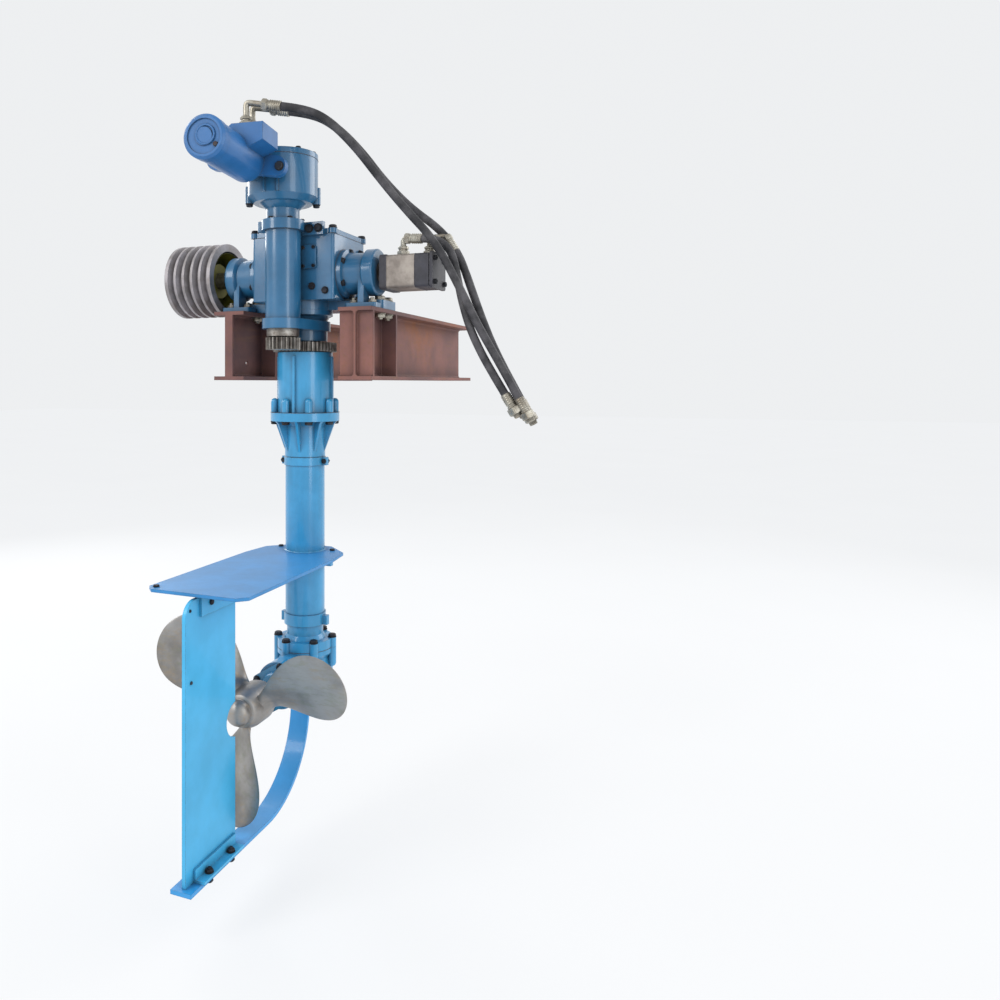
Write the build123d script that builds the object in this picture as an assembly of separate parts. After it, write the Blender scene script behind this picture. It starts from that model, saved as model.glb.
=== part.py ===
from build123d import *
from math import acos, atan, atan2, cos, hypot, pi, radians, sin, sqrt, tan
import os

# Azimuthing marine thruster: a belt driven right-angle gearbox on two deck beams, with a steerable
# leg, a propeller gearcase, a fixed fin and a guard bar hanging below.
# Millimetres. Z is up and is the steering axis, X points to the pump, Y forward, away from the
# propeller. The origin is on the steering axis, level with the underside of the beams.

# Deck beams
beam_height = 200.0
beam_width = 100.0
beam_web = 7.0
beam_flange = 11.0
beam_root = 8.0
beam_spacing = 400.0
beam_aft = -95.0
beam_front = 860.0
stiffener = 10.0
stiffener_front = 88.0
end_setback = 12.0
end_strap = 26.0
web_hole = 14.0
web_hole_z = 52.0
deck_bolt_gauge = 60.0
deck_bolt_rows = (15.0, 72.0)

# Fits and fasteners
slide = 0.1
running = 0.05
bolt_gap = 0.4
deck_bolt = 16.0
flange_bolt = 12.0
small_bolt = 10.0
head_across = 1.6
head_height = 0.62

# Main gearbox
box_half_width = 130.0
box_aft = -80.0
box_front = 135.0
box_height = 183.0
box_wall = 12.0
box_corner = 9.0
lid_thickness = 14.0
lid_lug = 9.0
base_thickness = 25.0
base_edge = 2.0
base_aft = -12.0
base_front = 100.0
base_boss = 81.0
panel_width = 46.0
panel_height = 66.0
panel_thickness = 6.0
panel_x = 55.0
panel_height_on_box = 120.0

# Input shaft, carriers and bevel gears
input_height = 77.0
shaft_radius = 25.0
carrier_flange = 70.0
carrier_flange_thickness = 14.0
carrier_radius = 56.0
carrier_rim = 66.0
carrier_rim_width = 34.0
carrier_end = 236.0
carrier_bore = 45.0
carrier_foot_width = 92.0
carrier_foot_depth = 100.0
carrier_foot_height = 14.0
carrier_foot_bolt = 28.0
carrier_foot_bolt_y = -36.0
carrier_web = 18.0
bearing_inset = 22.0
bearing_width = 23.0
bevel_drive_radius = 48.0
bevel_driven_radius = 60.0
bevel_face = 22.0
bevel_gap = 0.5

# Belt pulley
pulley_radius = 110.0
pulley_near = 256.0
groove_count = 5
groove_pitch = 29.0
groove_margin = 22.0
groove_mouth = 21.0
groove_floor = 8.0
groove_depth = 17.0
rim_inner = 84.0
pulley_web = 20.0
hub_radius = 52.0

# Gear pump
pump_near = 251.0
pump_adapter = 19.0
pump_body = 83.0
pump_cover = 40.0
pump_spacer = 4.0
pump_end = 8.0
pump_shaft_depth = 24.0
pump_height = 92.0
pump_lift = -4.0
pump_aft = -40.0
pump_front = 70.0
pump_corner = 8.0
pump_module = 2.5
pump_teeth = 13
pump_bush = 11.0
pump_shaft = 9.0

# Slewing spigot and leg bearings
neck_radius = 65.0
neck_gap = 4.0
spigot_seat = 34.0
spigot_seat_depth = 20.0
neck_flange = 14.0
spigot_radius = 45.0
spigot_bore = 28.0
spigot_low = -76.0
head_bore = 70.0
head_bearing = 24.0
bearing_step = 2.0

# Steering gears and column
gear_module = 4.0
ring_teeth = 44
pinion_teeth = 22
ring_low = 82.0
ring_height = 26.0
pinion_low = 84.0
pinion_height = 33.0
pinion_shaft = 17.5
tooth_backlash = 0.35
column_radius = 49.0
column_bore = 36.0
arm_drop = 59.0
arm_height = 28.0
arm_rim = 9.0
column_over = 4.0
column_flange = 28.0
drum_neck = 46.0
column_neck = 46.0
bracket_skin = 14.0
bracket_from = -16.0
bracket_to = 104.0
bracket_low = 8.0
bracket_bolt_x = (62.0, 90.0)

# Worm gearbox and steering motor
drum_radius = 97.0
drum_height = 120.0
drum_chamfer = 16.0
drum_lug = 12.0
drum_lug_circle = 92.0
drum_lug_turn = 27.0
drum_lug_height = 46.0
drum_lid = 15.0
drum_wall = 11.0
drum_floor = 14.0
motor_height = 84.0
motor_yaw = 8.0
worm_offset = 51.5
worm_wheel_radius = 33.0
worm_wheel_width = 34.0
worm_half_length = 38.0
worm_shaft = 11.0
worm_bearing = 22.0
boss_radius = 35.0
boss_start = -70.0
boss_end = 118.0
motor_flange = 22.0
motor_flange_reach = 112.0
motor_flange_edge = 16.0
motor_flange_turn = 9.0
motor_radius = 52.0
motor_length = 244.0
motor_cap = 30.0
port_near = 4.0
port_far = 106.0
port_reach = 92.0
port_top = 70.0
port_side = 44.0
port_flat = 84.0

# Leg
head_radius = 80.0
head_top = 80.0
head_low = -93.0
head_floor = 12.0
head_lug = 11.0
head_lug_circle = 88.0
head_lug_height = 30.0
head_lug_start = 34.0
head_rib_start = 5.0
head_rib = 8.0
bell_flange = 100.0
bell_flange_thickness = 25.0
bell_radius = 58.5
bell_low = -220.0
collar_radius = 60.5
collar_height = 23.0
tube_radius = 57.0
tube_wall = 6.0
tube_low = -672.0
adapter_collar = 32.0
adapter_neck = 52.5
case_top = -772.0
case_flange = 27.0
case_flange_radius = 80.0
case_lug_circle = 80.0
case_lug = 12.0
case_pillar = 46.0
plate_z = -500.0
plate_thickness = 8.0
plate_half_width = 138.0
plate_aft = -560.0
plate_front = 62.0
plate_chamfer = 82.0
plate_aft_chamfer = 22.0

# Gearcase and propeller
prop_z = -838.0
case_radius = 70.0
case_nose = 78.0
case_boss = 64.0
case_boss_end = 160.0
case_shoulder = 14.0
case_slope = 28.0
case_skirt = 20.0
case_draft = 2.0
nose_tip = 30.0
nose_bevel = 52.0
nose_bevel_depth = 10.0
nose_shoulder = 66.0
nose_shoulder_depth = 28.0
belly_proud = 4.0
belly_back = 30.0
belly_front = 40.0
case_boss_start = 62.0
nose_floor = 34.0
nose_seat_depth = 30.0
cap_seat = 16.0
case_bore = 57.0
cap_side = 108.0
cap_thickness = 15.0
cap_turn = 31.0
cap_corner = 12.0
seal_wide = 44.0
seal_narrow = 38.0
seal_length = 12.0
seal_seat = 40.0
nose_seat = 31.0
lower_pinion_radius = 36.0
crown_radius = 52.0
crown_face = 20.0
drive_radius = 18.0
prop_shaft = 20.0
prop_radius = 300.0
prop_plane_y = -303.0
prop_hub = 52.0
prop_hub_half = 52.0
prop_pitch = 500.0
prop_phase = 25.0
blade_chord = 190.0
blade_thickness = 13.0
blade_rake = 50.0
nut_radius = 33.0
nut_length = 24.0

# Fin and guard bar
fin_thickness = 10.0
fin_near = -385.0
fin_far = -593.0
fin_top = -506.0
fin_corner = 40.0
fin_notch = 44.0
bracket_leg = 50.0
bracket_plate = 6.0
bar_width = 56.0
bar_thickness = 10.0
bar_top_z = -925.0
bar_drop_y = -30.0
bar_low_z = -1158.0
bar_bend = 230.0
bar_far = -605.0
bar_foot = 62.0
bar_bolt_x = 21.0

# Hoses
hose_radius = 11.0
ferrule_radius = 14.0
ferrule_length = 40.0
pipe_radius = 8.0
pipe_bend = 10.0
adaptor_half = 15.0

LOW = (Align.CENTER, Align.CENTER, Align.MIN)
base_half_width = (beam_spacing + beam_width) / 2 - base_edge
box_floor = beam_height + base_thickness
box_rim = box_floor + box_height
input_z = box_floor + input_height
panel_z = box_floor + panel_height_on_box
neck_low = ring_low + ring_height + neck_gap
arm_low = beam_height - arm_drop
column_top = box_rim + column_over
neck_top = column_top + column_flange + drum_neck
drum_top = neck_top + drum_height
motor_z = neck_top + motor_height
ALONG_X = Plane(origin=(0, 0, input_z), x_dir=(0, 1, 0), z_dir=(1, 0, 0))
PROP = Plane(origin=(0, 0, prop_z), x_dir=(1, 0, 0), z_dir=(0, -1, 0))
gear_distance = gear_module * (ring_teeth + pinion_teeth) / 2
yaw = radians(motor_yaw)
MOTOR = Plane(
    origin=(-worm_offset * cos(yaw), -gear_distance - worm_offset * sin(yaw), motor_z),
    x_dir=(cos(yaw), sin(yaw), 0),
    z_dir=(sin(yaw), -cos(yaw), 0),
)

nodes = {}


def keep(name, *solids):
    """Stores one node, made of one solid or a group of separate solids."""
    flat = [solid for item in solids for solid in item.solids()]
    nodes[name] = flat[0] if len(flat) == 1 else Compound(children=flat)


def tube(outer, inner, low, high, x=0.0, y=0.0):
    """Upright tube between two heights, solid where the inner radius is nought."""
    body = Pos(x, y, low) * Cylinder(outer, high - low, align=LOW)
    if inner > 0:
        body -= Pos(x, y, low) * Cylinder(inner, high - low, align=LOW)
    return body


def block(x0, x1, y0, y1, z0, z1, corner=0.0):
    """Box between two corners, its upright edges rounded."""
    size = (x1 - x0, y1 - y0)
    outline = RectangleRounded(*size, corner) if corner else Rectangle(*size)
    return Pos((x0 + x1) / 2, (y0 + y1) / 2, z0) * extrude(outline, z1 - z0)


def hex_bolt(size, shank):
    """Hexagon bolt whose head stands on the local XY plane, with its shank below."""
    head = extrude(RegularPolygon(head_across * size / 2, 6, major_radius=False), head_height * size)
    return head + Pos(0, 0, -shank) * Cylinder(size / 2, shank, align=LOW)


def hex_head(size):
    """Bolt head alone, standing on the local XY plane."""
    return extrude(RegularPolygon(head_across * size / 2, 6, major_radius=False), head_height * size)


def hex_nut(size):
    """Nut hanging under the local XY plane, bored to clear its bolt."""
    nut = extrude(RegularPolygon(head_across * size / 2, 6, major_radius=False), -0.8 * size)
    return nut - Cylinder(size / 2 + slide, 4 * size)


def bolt_hole(size, depth):
    """Clearance hole below the local XY plane."""
    return Pos(0, 0, -depth) * Cylinder(size / 2 + bolt_gap, depth + 1.0, align=LOW)


def spots(plane, places):
    """Locations on a plane, one for each pair of coordinates."""
    return [plane * Pos(u, v, 0) for u, v in places]


def circle_of(radius, count, start=0.0):
    """Pairs of coordinates evenly spaced on a circle."""
    turns = [radians(start + 360.0 * k / count) for k in range(count)]
    return [(radius * cos(a), radius * sin(a)) for a in turns]


def involute(angle):
    """Involute function of a pressure angle in radians."""
    return tan(angle) - angle


def spur_gear(module, teeth, width, bore, first, addendum=1.0):
    """Spur gear on the local XY plane, with a tooth centred at the angle first, in degrees."""
    pitch = module * teeth / 2
    pressure = radians(20)
    base = pitch * cos(pressure)
    root = pitch - 1.25 * module
    tip = pitch + addendum * module
    half = pi / (2 * teeth) - tooth_backlash / (2 * pitch)

    def half_angle(radius):
        return half + involute(pressure) - involute(acos(min(1.0, base / radius)))

    start = max(base, root + 0.1 * module)
    flank = [start, pitch, (pitch + tip) / 2, tip]
    outline = []
    for k in range(teeth):
        centre = radians(first) + 2 * pi * k / teeth
        rising = [(root, half_angle(start))] + [(r, half_angle(r)) for r in flank]
        for radius, a in rising:
            outline.append((radius * cos(centre - a), radius * sin(centre - a)))
        for radius, a in reversed(rising):
            outline.append((radius * cos(centre + a), radius * sin(centre + a)))
    blank = extrude(make_face(Polyline(*outline, close=True)), width)
    return blank - Cylinder(bore, 3 * width)


def bevel_blank(pitch_radius, mate_radius, face, hub, bore):
    """Bevel gear blank on the local Z axis, its pitch cone's point at the local origin."""
    slant = hypot(pitch_radius, mate_radius)
    inward = (slant - face) / slant
    lean = atan2(pitch_radius, mate_radius)
    back = 0.32 * face
    gap = bevel_gap / 2
    outline = Polyline(
        (bore, -mate_radius * inward + gap),
        (pitch_radius * inward - gap, -mate_radius * inward),
        (pitch_radius - gap * cos(lean), -mate_radius - gap * sin(lean)),
        (pitch_radius - back * sin(lean) * 0.6, -mate_radius - back),
        (hub, -mate_radius - back - 3),
        (hub, -mate_radius - 16),
        (bore, -mate_radius - 16),
        close=True,
    )
    return revolve(Plane.XZ * make_face(outline), Axis.Z)


def deck_beam(side):
    """One wide-flanged I-beam with its stiffener plates, on the given side."""
    pocket = (beam_width - beam_web) / 2 + beam_root
    section = Rectangle(beam_width, beam_height)
    for hand in (-1, 1):
        hollow = RectangleRounded(pocket, beam_height - 2 * beam_flange, beam_root)
        section -= Pos(hand * (beam_web / 2 + pocket / 2), 0) * hollow
    end = (side * beam_spacing / 2, beam_aft, beam_height / 2)
    across = Plane(origin=end, x_dir=(1, 0, 0), z_dir=(0, 1, 0))
    beam = across * extrude(section, beam_front - beam_aft)
    between = beam_height - 2 * beam_flange
    plate = (beam_width - beam_web) / 2
    middle = stiffener_front - beam_aft
    if side > 0:
        plates = [(hand, place) for hand in (-1, 1) for place in (end_setback, middle)]
    else:
        plates = [(1, middle)]
        beam += across * extrude(Rectangle(end_strap, between), stiffener)
    for hand, place in plates:
        sheet = Pos(hand * (beam_web + plate) / 2, 0) * Rectangle(plate, between)
        beam += across * Pos(0, 0, place) * extrude(sheet, stiffener)
    level = Plane(origin=(side * beam_spacing / 2, 0, beam_height))
    for spot in spots(level, deck_bolt_places):
        beam -= spot * bolt_hole(deck_bolt, beam_flange + 1)
    web_level = Plane(origin=(side * beam_spacing / 2, 0, web_hole_z), x_dir=(0, 1, 0), z_dir=(1, 0, 0))
    return beam - web_level * Cylinder(web_hole / 2, 2 * beam_web)


deck_bolt_places = [(x * deck_bolt_gauge / 2, y) for x in (-1, 1) for y in deck_bolt_rows]
deck_spots = [(side * beam_spacing / 2 + x, y) for side in (-1, 1) for x, y in deck_bolt_places]


def gearbox_housing():
    """Open-topped gearbox casting with its base plate, shaft openings and bolt holes."""
    body = block(-box_half_width, box_half_width, box_aft, box_front, box_floor, box_rim, box_corner)
    body += block(-base_half_width, base_half_width, base_aft, base_front, beam_height, box_floor, 14)
    body += tube(base_boss, 0, beam_height, box_floor)
    for side in (-1, 1):
        web = Polyline((box_half_width - 4, box_floor), (base_half_width - 8, box_floor),
                       (box_half_width - 4, box_floor + 16), close=True)
        plane = Plane(origin=(0, (base_aft + base_front) / 2, 0), x_dir=(side, 0, 0), z_dir=(0, -side, 0))
        body += extrude(plane * make_face(web), 5, both=True)
    body -= block(-box_half_width + box_wall, box_half_width - box_wall, box_aft + box_wall,
                  box_front - box_wall, box_floor + box_wall, box_rim + 1, box_corner)
    body -= ALONG_X * Cylinder(carrier_bore + 5, 4 * box_half_width)
    body -= tube(spigot_bore + 8, 0, beam_height - 1, box_floor + box_wall + 1)
    for spot in spots(Plane(origin=(0, 0, box_floor)), deck_spots):
        body -= spot * bolt_hole(deck_bolt, box_floor - beam_height + 1)
    return body


def gearbox_lid():
    """Flat top cover with four corner lugs and a raised filler boss."""
    top = box_rim + lid_thickness
    lid = block(-box_half_width, box_half_width, box_aft, box_front, box_rim, top, box_corner)
    for x in (-1, 1):
        for y in (box_aft + 8, box_front - 8):
            lid += tube(lid_lug + 4, 0, box_rim, top, x * (box_half_width - 6), y)
    lid += tube(26, 0, top - 1, top + 8, -40, 60)
    return lid


def carrier(side):
    """Shaft bearing carrier bolted to one side of the gearbox, with its foot on the beam."""
    low = box_half_width
    rim = carrier_end - carrier_rim_width
    bevel = 4.0
    outline = Polyline(
        (carrier_bore, low),
        (carrier_flange, low),
        (carrier_flange, low + carrier_flange_thickness),
        (carrier_radius + bevel, low + carrier_flange_thickness + bevel),
        (carrier_radius, rim - bevel),
        (carrier_rim - bevel, rim),
        (carrier_rim, rim + bevel),
        (carrier_rim, carrier_end - bevel),
        (carrier_rim - bevel, carrier_end),
        (shaft_radius + 2, carrier_end),
        (shaft_radius + 2, bearing_seat + bearing_width),
        (carrier_bore, bearing_seat + bearing_width),
        close=True,
    )
    body = ALONG_X * revolve(Plane.XZ * make_face(outline), Axis.Z)
    foot_x = beam_spacing / 2
    foot_top = beam_height + carrier_foot_height
    foot = block(foot_x - carrier_foot_width / 2, foot_x + carrier_foot_width / 2,
                 -carrier_foot_depth / 2 - 10, base_aft - 1, beam_height, foot_top, 8)
    leg = Polyline((-carrier_foot_depth / 2 - 4, foot_top), (base_aft - 2, foot_top),
                   (base_aft - 2, input_z - 40), (-carrier_radius + 4, input_z - 20), close=True)
    plane = Plane(origin=(foot_x, 0, 0), x_dir=(0, 1, 0), z_dir=(1, 0, 0))
    web = extrude(plane * make_face(leg), carrier_web / 2, both=True)
    cutter = ALONG_X * Cylinder(carrier_radius - 8, 6 * carrier_end)
    body += foot + (web - cutter)
    for k in circle_of(carrier_flange - 9, 6, 30):
        flange_face = Pos(k[0], k[1], low + carrier_flange_thickness)
        body -= ALONG_X * flange_face * bolt_hole(small_bolt, carrier_flange_thickness + 1)
    for x in (foot_x - carrier_foot_bolt, foot_x + carrier_foot_bolt):
        body -= Pos(x, carrier_foot_bolt_y, foot_top) * bolt_hole(flange_bolt, carrier_foot_height + 1)
    return body if side > 0 else mirror(body, Plane.YZ)


bearing_seat = box_half_width + bearing_inset


def ribbed_pulley():
    """Grooved belt pulley with an open rim on both faces and a web in the middle."""
    width = pulley_width
    near = -pulley_near
    web_near = near - width / 2 + pulley_web / 2
    outline = [(hub_radius + slide, web_near), (rim_inner, web_near),
               (rim_inner + 4, near), (pulley_radius, near)]
    for k in range(groove_count):
        middle = near - groove_margin - k * groove_pitch
        outline += [(pulley_radius, middle + groove_mouth / 2),
                    (pulley_radius - groove_depth, middle + groove_floor / 2),
                    (pulley_radius - groove_depth, middle - groove_floor / 2),
                    (pulley_radius, middle - groove_mouth / 2)]
    outline += [(pulley_radius, near - width), (rim_inner + 4, near - width),
                (rim_inner, web_near - pulley_web), (hub_radius + slide, web_near - pulley_web)]
    return ALONG_X * revolve(Plane.XZ * make_face(Polyline(*outline, close=True)), Axis.Z)


pulley_width = (groove_count - 1) * groove_pitch + 2 * groove_margin
pulley_middle = -pulley_near - pulley_width / 2


def pump_block(near, far, inset=0.0):
    """Rounded slab of the pump between two distances along the shaft."""
    middle = (pump_aft + pump_front) / 2
    outline = RectangleRounded(pump_front - pump_aft - 2 * inset, pump_height - 2 * inset, pump_corner)
    return ALONG_X * Pos(middle, pump_lift, near) * extrude(outline, far - near)


pump_distance = pump_module * pump_teeth
pump_tip = pump_module * (pump_teeth / 2 + 0.85)
chamber_near = pump_near + pump_adapter
chamber_far = chamber_near + pump_body
cover_far = chamber_far + pump_cover
spacer_far = cover_far + pump_spacer
pump_far = spacer_far + pump_end


def eight(radius, near, far):
    """Two overlapping bores side by side, as a cutter or a bushing blank."""
    bores = Circle(radius) + Pos(pump_distance, 0) * Circle(radius)
    return ALONG_X * Pos(0, 0, near) * extrude(bores, far - near)


head_lugs = circle_of(head_lug_circle, 8, head_lug_start)


def leg_head():
    """Rotating head round the slewing bearings, with ribs and bolt bosses at its foot."""
    body = tube(head_radius, head_bore, head_low, head_top)
    body += tube(head_radius, drive_radius + 14, head_low, head_low + head_floor)
    for x, y in head_lugs:
        body += tube(head_lug, 0, head_low, head_low + head_lug_height, x, y)
        body += Pos(x, y, head_low + head_lug_height) * Sphere(head_lug)
    for k in range(4):
        rib = block(head_radius - 3, head_radius + 7, -head_rib / 2, head_rib / 2, head_low, head_top - 12)
        body += Rot(0, 0, 90 * k + head_rib_start) * rib
    return body - tube(head_bore, 0, head_low + head_floor, head_top + 1)


def bell():
    """Ribbed casting that steps the head down to the leg tube."""
    top = head_low
    outline = Polyline(
        (drive_radius + 16, top), (bell_flange, top), (bell_flange, top - bell_flange_thickness),
        (bell_radius + 9, top - bell_flange_thickness), (bell_radius, top - bell_flange_thickness - 14),
        (bell_radius, bell_low), (tube_radius - tube_wall - slide, bell_low),
        (tube_radius - tube_wall - slide, bell_low - 40), (drive_radius + 16, bell_low - 40), close=True,
    )
    body = revolve(Plane.XZ * make_face(outline), Axis.Z)
    under = top - bell_flange_thickness
    rib = Polyline((bell_radius - 4, under), (bell_flange - 4, under), (bell_flange - 12, under - 8),
                   (bell_radius, bell_low + 14), (bell_radius - 4, bell_low + 14), close=True)
    for k in range(8):
        turn = head_lug_start + 45 * (k + 0.5)
        body += Rot(0, 0, turn) * extrude(Plane.XZ * make_face(rib), 4, both=True)
    for x, y in head_lugs:
        body -= Pos(x, y, top) * bolt_hole(flange_bolt, bell_flange_thickness + 1)
    return body


def column_arm():
    """Cast arm that ties the foot of the column to the slewing neck."""
    column_end = Circle(column_radius + arm_rim)
    neck_end = Pos(0, gear_distance) * Circle(neck_radius + arm_rim)
    outline = make_hull(column_end.edges() + neck_end.edges())
    arm = Pos(0, -gear_distance, arm_low) * extrude(outline, arm_height)
    arm -= tube(column_radius + slide, 0, arm_low - 1, arm_low + arm_height + 1, 0, -gear_distance)
    return arm - tube(neck_radius + slide, 0, arm_low - 1, arm_low + arm_height + 1)


def worm_housing():
    """Round worm gearbox casting with its necked foot, bolt rim and the boss for the worm."""
    y = -gear_distance
    body = tube(column_neck, column_bore, column_top + column_flange, neck_top, 0, y)
    body += tube(drum_radius, 0, neck_top + drum_chamfer, drum_top, 0, y)
    body += Pos(0, y, neck_top) * Cone(drum_radius - drum_chamfer, drum_radius, drum_chamfer, align=LOW)
    flare = Cone(column_neck, drum_radius - 2 * drum_chamfer, drum_chamfer, align=LOW)
    body += Pos(0, y, neck_top - drum_chamfer) * flare
    body += MOTOR * Pos(0, 0, boss_start) * Cylinder(boss_radius, boss_end - boss_start, align=LOW)
    for x, lug_y in circle_of(drum_lug_circle, 2, drum_lug_turn):
        body += tube(drum_lug, 0, neck_top, neck_top + drum_lug_height, x, y + lug_y)
    for turn in drum_rib_turns:
        rib = block(drum_radius - 2, drum_radius + 5, -3, 3, neck_top + drum_chamfer, motor_z)
        body += Pos(0, y) * Rot(0, 0, turn) * rib
    body -= tube(drum_radius - drum_wall, 0, neck_top + drum_floor, drum_top + 1, 0, y)
    body -= tube(column_bore, 0, column_top, drum_top, 0, y)
    body += MOTOR * Pos(0, 0, -worm_half_length - 27) * Cylinder(worm_bearing + 7, 23, align=LOW)
    reach = 2 * drum_radius + boss_end
    body -= MOTOR * Pos(0, 0, -worm_half_length - 23) * Cylinder(worm_bearing + slide, reach, align=LOW)
    return body


drum_rib_turns = (-92.0, -70.0)


def clamp_ring(outer, inner, low, high, reach):
    """Split clamp ring with a pair of pinch lugs on each side."""
    body = tube(outer, inner, low, high)
    lug_half = (reach - outer + 3) / 2
    for hand in (-1, 1):
        body += Pos(hand * (outer + reach - 3) / 2, 0) * block(-lug_half, lug_half, -9, 9, low, high, 3)
    return body - tube(inner, 0, low - 1, high + 1)


def leg_adapter():
    """Casting from the leg tube down to the gearcase flange."""
    bore = drive_radius + 18
    low = case_top
    outline = Polyline(
        (bore, low), (case_flange_radius, low), (case_flange_radius, low + case_flange),
        (adapter_neck + 8, low + case_flange), (adapter_neck, low + case_flange + 12),
        (adapter_neck, tube_low - adapter_collar), (collar_radius, tube_low - adapter_collar),
        (collar_radius, tube_low), (tube_radius - tube_wall - slide, tube_low),
        (tube_radius - tube_wall - slide, tube_low + 40), (bore, tube_low + 40), close=True,
    )
    body = revolve(Plane.XZ * make_face(outline), Axis.Z)
    for x, y in circle_of(case_lug_circle, 6, 15):
        body += tube(case_lug, 0, low, low + case_flange, x, y)
    for x, y in circle_of(case_lug_circle, 6, 15):
        body -= Pos(x, y, low + case_flange) * bolt_hole(flange_bolt, case_flange + 1)
    for hand in (-1, 1):
        lug = block(-8.5, 8.5, -9, 9, tube_low - adapter_collar, tube_low - 6, 3)
        body += Pos(hand * (collar_radius + 5.5), 0) * lug
    return body - tube(bore, 0, low - 1, tube_low + 41)


def cavitation_plate():
    """Flat plate above the propeller, with chamfered corners and a hole for the leg tube."""
    wide = plate_half_width
    side = [(wide - plate_chamfer, plate_front), (wide - 12, plate_front - plate_chamfer * 0.85),
            (wide, plate_front - plate_chamfer * 2), (wide, plate_aft + plate_aft_chamfer),
            (wide - plate_aft_chamfer, plate_aft)]
    outline = Polyline(*side, *[(-x, y) for x, y in reversed(side)], close=True)
    plate = Pos(0, 0, plate_z) * extrude(make_face(outline), plate_thickness)
    return plate - tube(tube_radius + slide, 0, plate_z - 1, plate_z + plate_thickness + 1)


def gearcase():
    """Hollow propeller gearcase: a round body, a nose, an aft boss and bolt pillars under the flange."""
    outline = Polyline((0, case_top), (case_flange_radius, case_top),
                       (case_flange_radius, case_top - case_shoulder),
                       (case_radius - case_draft, case_top - case_slope),
                       (case_radius, prop_z + case_skirt), (0, prop_z + case_skirt), close=True)
    body = revolve(Plane.XZ * make_face(outline), Axis.Z)
    belly = case_radius + belly_proud
    nose = Polyline((0, -case_nose), (nose_tip, -case_nose), (nose_bevel, -case_nose + nose_bevel_depth),
                    (nose_shoulder, -case_nose + nose_shoulder_depth), (belly, -belly_back),
                    (belly, belly_front), (case_boss, case_boss_start),
                    (case_boss, case_boss_end), (0, case_boss_end), close=True)
    body += PROP * revolve(Plane.XZ * make_face(nose), Axis.Z)
    square = Rot(0, 0, cap_turn) * RectangleRounded(cap_side, cap_side, cap_corner)
    body += PROP * Pos(0, 0, case_boss_end - cap_seat) * extrude(square, cap_seat)
    for x, y in circle_of(case_lug_circle, 6, 15):
        body += tube(case_lug, 0, case_top - case_pillar, case_top, x, y)
        body += Pos(x, y, case_top - case_pillar) * Sphere(case_lug)
    pad = bar_width / 2 + 4
    body += block(-pad, pad, -24, bar_foot - 12, bar_top_z + bar_thickness / 2, prop_z - 40, 6)
    body -= tube(case_radius + 30, 0, case_top, case_top + 20)
    floor = -case_nose + nose_floor
    body -= PROP * Pos(0, 0, floor) * Cylinder(case_bore, 2 * case_boss_end, align=LOW)
    body -= PROP * Pos(0, 0, floor - bearing_width) * Cylinder(nose_seat, nose_seat_depth, align=LOW)
    body -= tube(lower_pinion_radius + 10, 0, prop_z, case_top + 1)
    for x, y in circle_of(case_lug_circle, 6, 15):
        body -= Pos(x, y, case_top) * bolt_hole(flange_bolt, 12)
    return body


def shaft_cap():
    """Square aft cap of the gearcase, with a stepped seal housing round the shaft."""
    outer = Rot(0, 0, cap_turn) * RectangleRounded(cap_side, cap_side, cap_corner)
    cap = Pos(0, 0, case_boss_end) * extrude(outer, cap_thickness)
    cap += Pos(0, 0, case_boss_end + cap_thickness) * Cone(seal_wide, seal_narrow, seal_length, align=LOW)
    cap += Pos(0, 0, case_boss_end - 40) * Cylinder(case_bore - slide, 40, align=LOW)
    cap -= Pos(0, 0, case_boss_end - 41) * Cylinder(seal_seat, 41 - cap_seat, align=LOW)
    cap -= Cylinder(prop_shaft + 1.5, 4 * case_boss_end)
    for x, y in cap_bolts:
        cap -= Pos(x, y, case_boss_end + cap_thickness) * bolt_hole(small_bolt, cap_thickness + 1)
    return PROP * cap


cap_bolts = circle_of((cap_side - 2 * cap_corner) / sqrt(2), 4, cap_turn + 45)


def blade_section(share):
    """Closed outline of the blade at a share of the radius, standing on the radial line."""
    radius = share * prop_radius
    if share < 0.66:
        chord = blade_chord * (0.36 + 0.64 * sin(pi / 2 * (share - 0.1) / 0.56))
    else:
        chord = blade_chord * sqrt(max(0.0, 1 - ((share - 0.66) / 0.342) ** 2))
    thick = blade_thickness * (1.15 - 0.95 * share)
    pitch = atan(prop_pitch / (2 * pi * radius))
    stations = [(-0.5, 0.10), (-0.25, 0.85), (0.08, 1.0), (0.5, 0.10)]
    upper = [(u * chord, v * thick) for u, v in stations]
    lower = [(u * chord, -0.35 * v * thick) for u, v in stations]
    outline = [Spline(*upper), Line(upper[-1], lower[-1]), Spline(*lower[::-1]), Line(lower[0], upper[0])]
    lean = blade_rake * (share - 0.2)
    plane = Plane(
        origin=(radius, 0, lean),
        x_dir=(0, cos(pitch), sin(pitch)),
        z_dir=(1, 0, 0),
    )
    return plane * make_face(outline)


def propeller():
    """Three bladed propeller on its barrel hub, turned to its place on the shaft."""
    hub_line = Polyline((prop_shaft + running, -prop_hub_half), (prop_hub - 6, -prop_hub_half),
                        (prop_hub, -prop_hub_half + 18), (prop_hub, prop_hub_half - 34),
                        (prop_hub - 13, prop_hub_half), (prop_shaft + running, prop_hub_half), close=True)
    wheel = revolve(Plane.XZ * make_face(hub_line), Axis.Z)
    sections = [blade_section(share) for share in (0.13, 0.3, 0.48, 0.66, 0.8, 0.92, 0.985)]
    blade = loft(sections)
    for k in range(3):
        wheel += Rot(0, 0, prop_phase + 120 * k) * blade
    wheel -= Cylinder(prop_shaft + running, 4 * prop_hub_half)
    return PROP * Pos(0, 0, -prop_plane_y) * wheel


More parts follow.
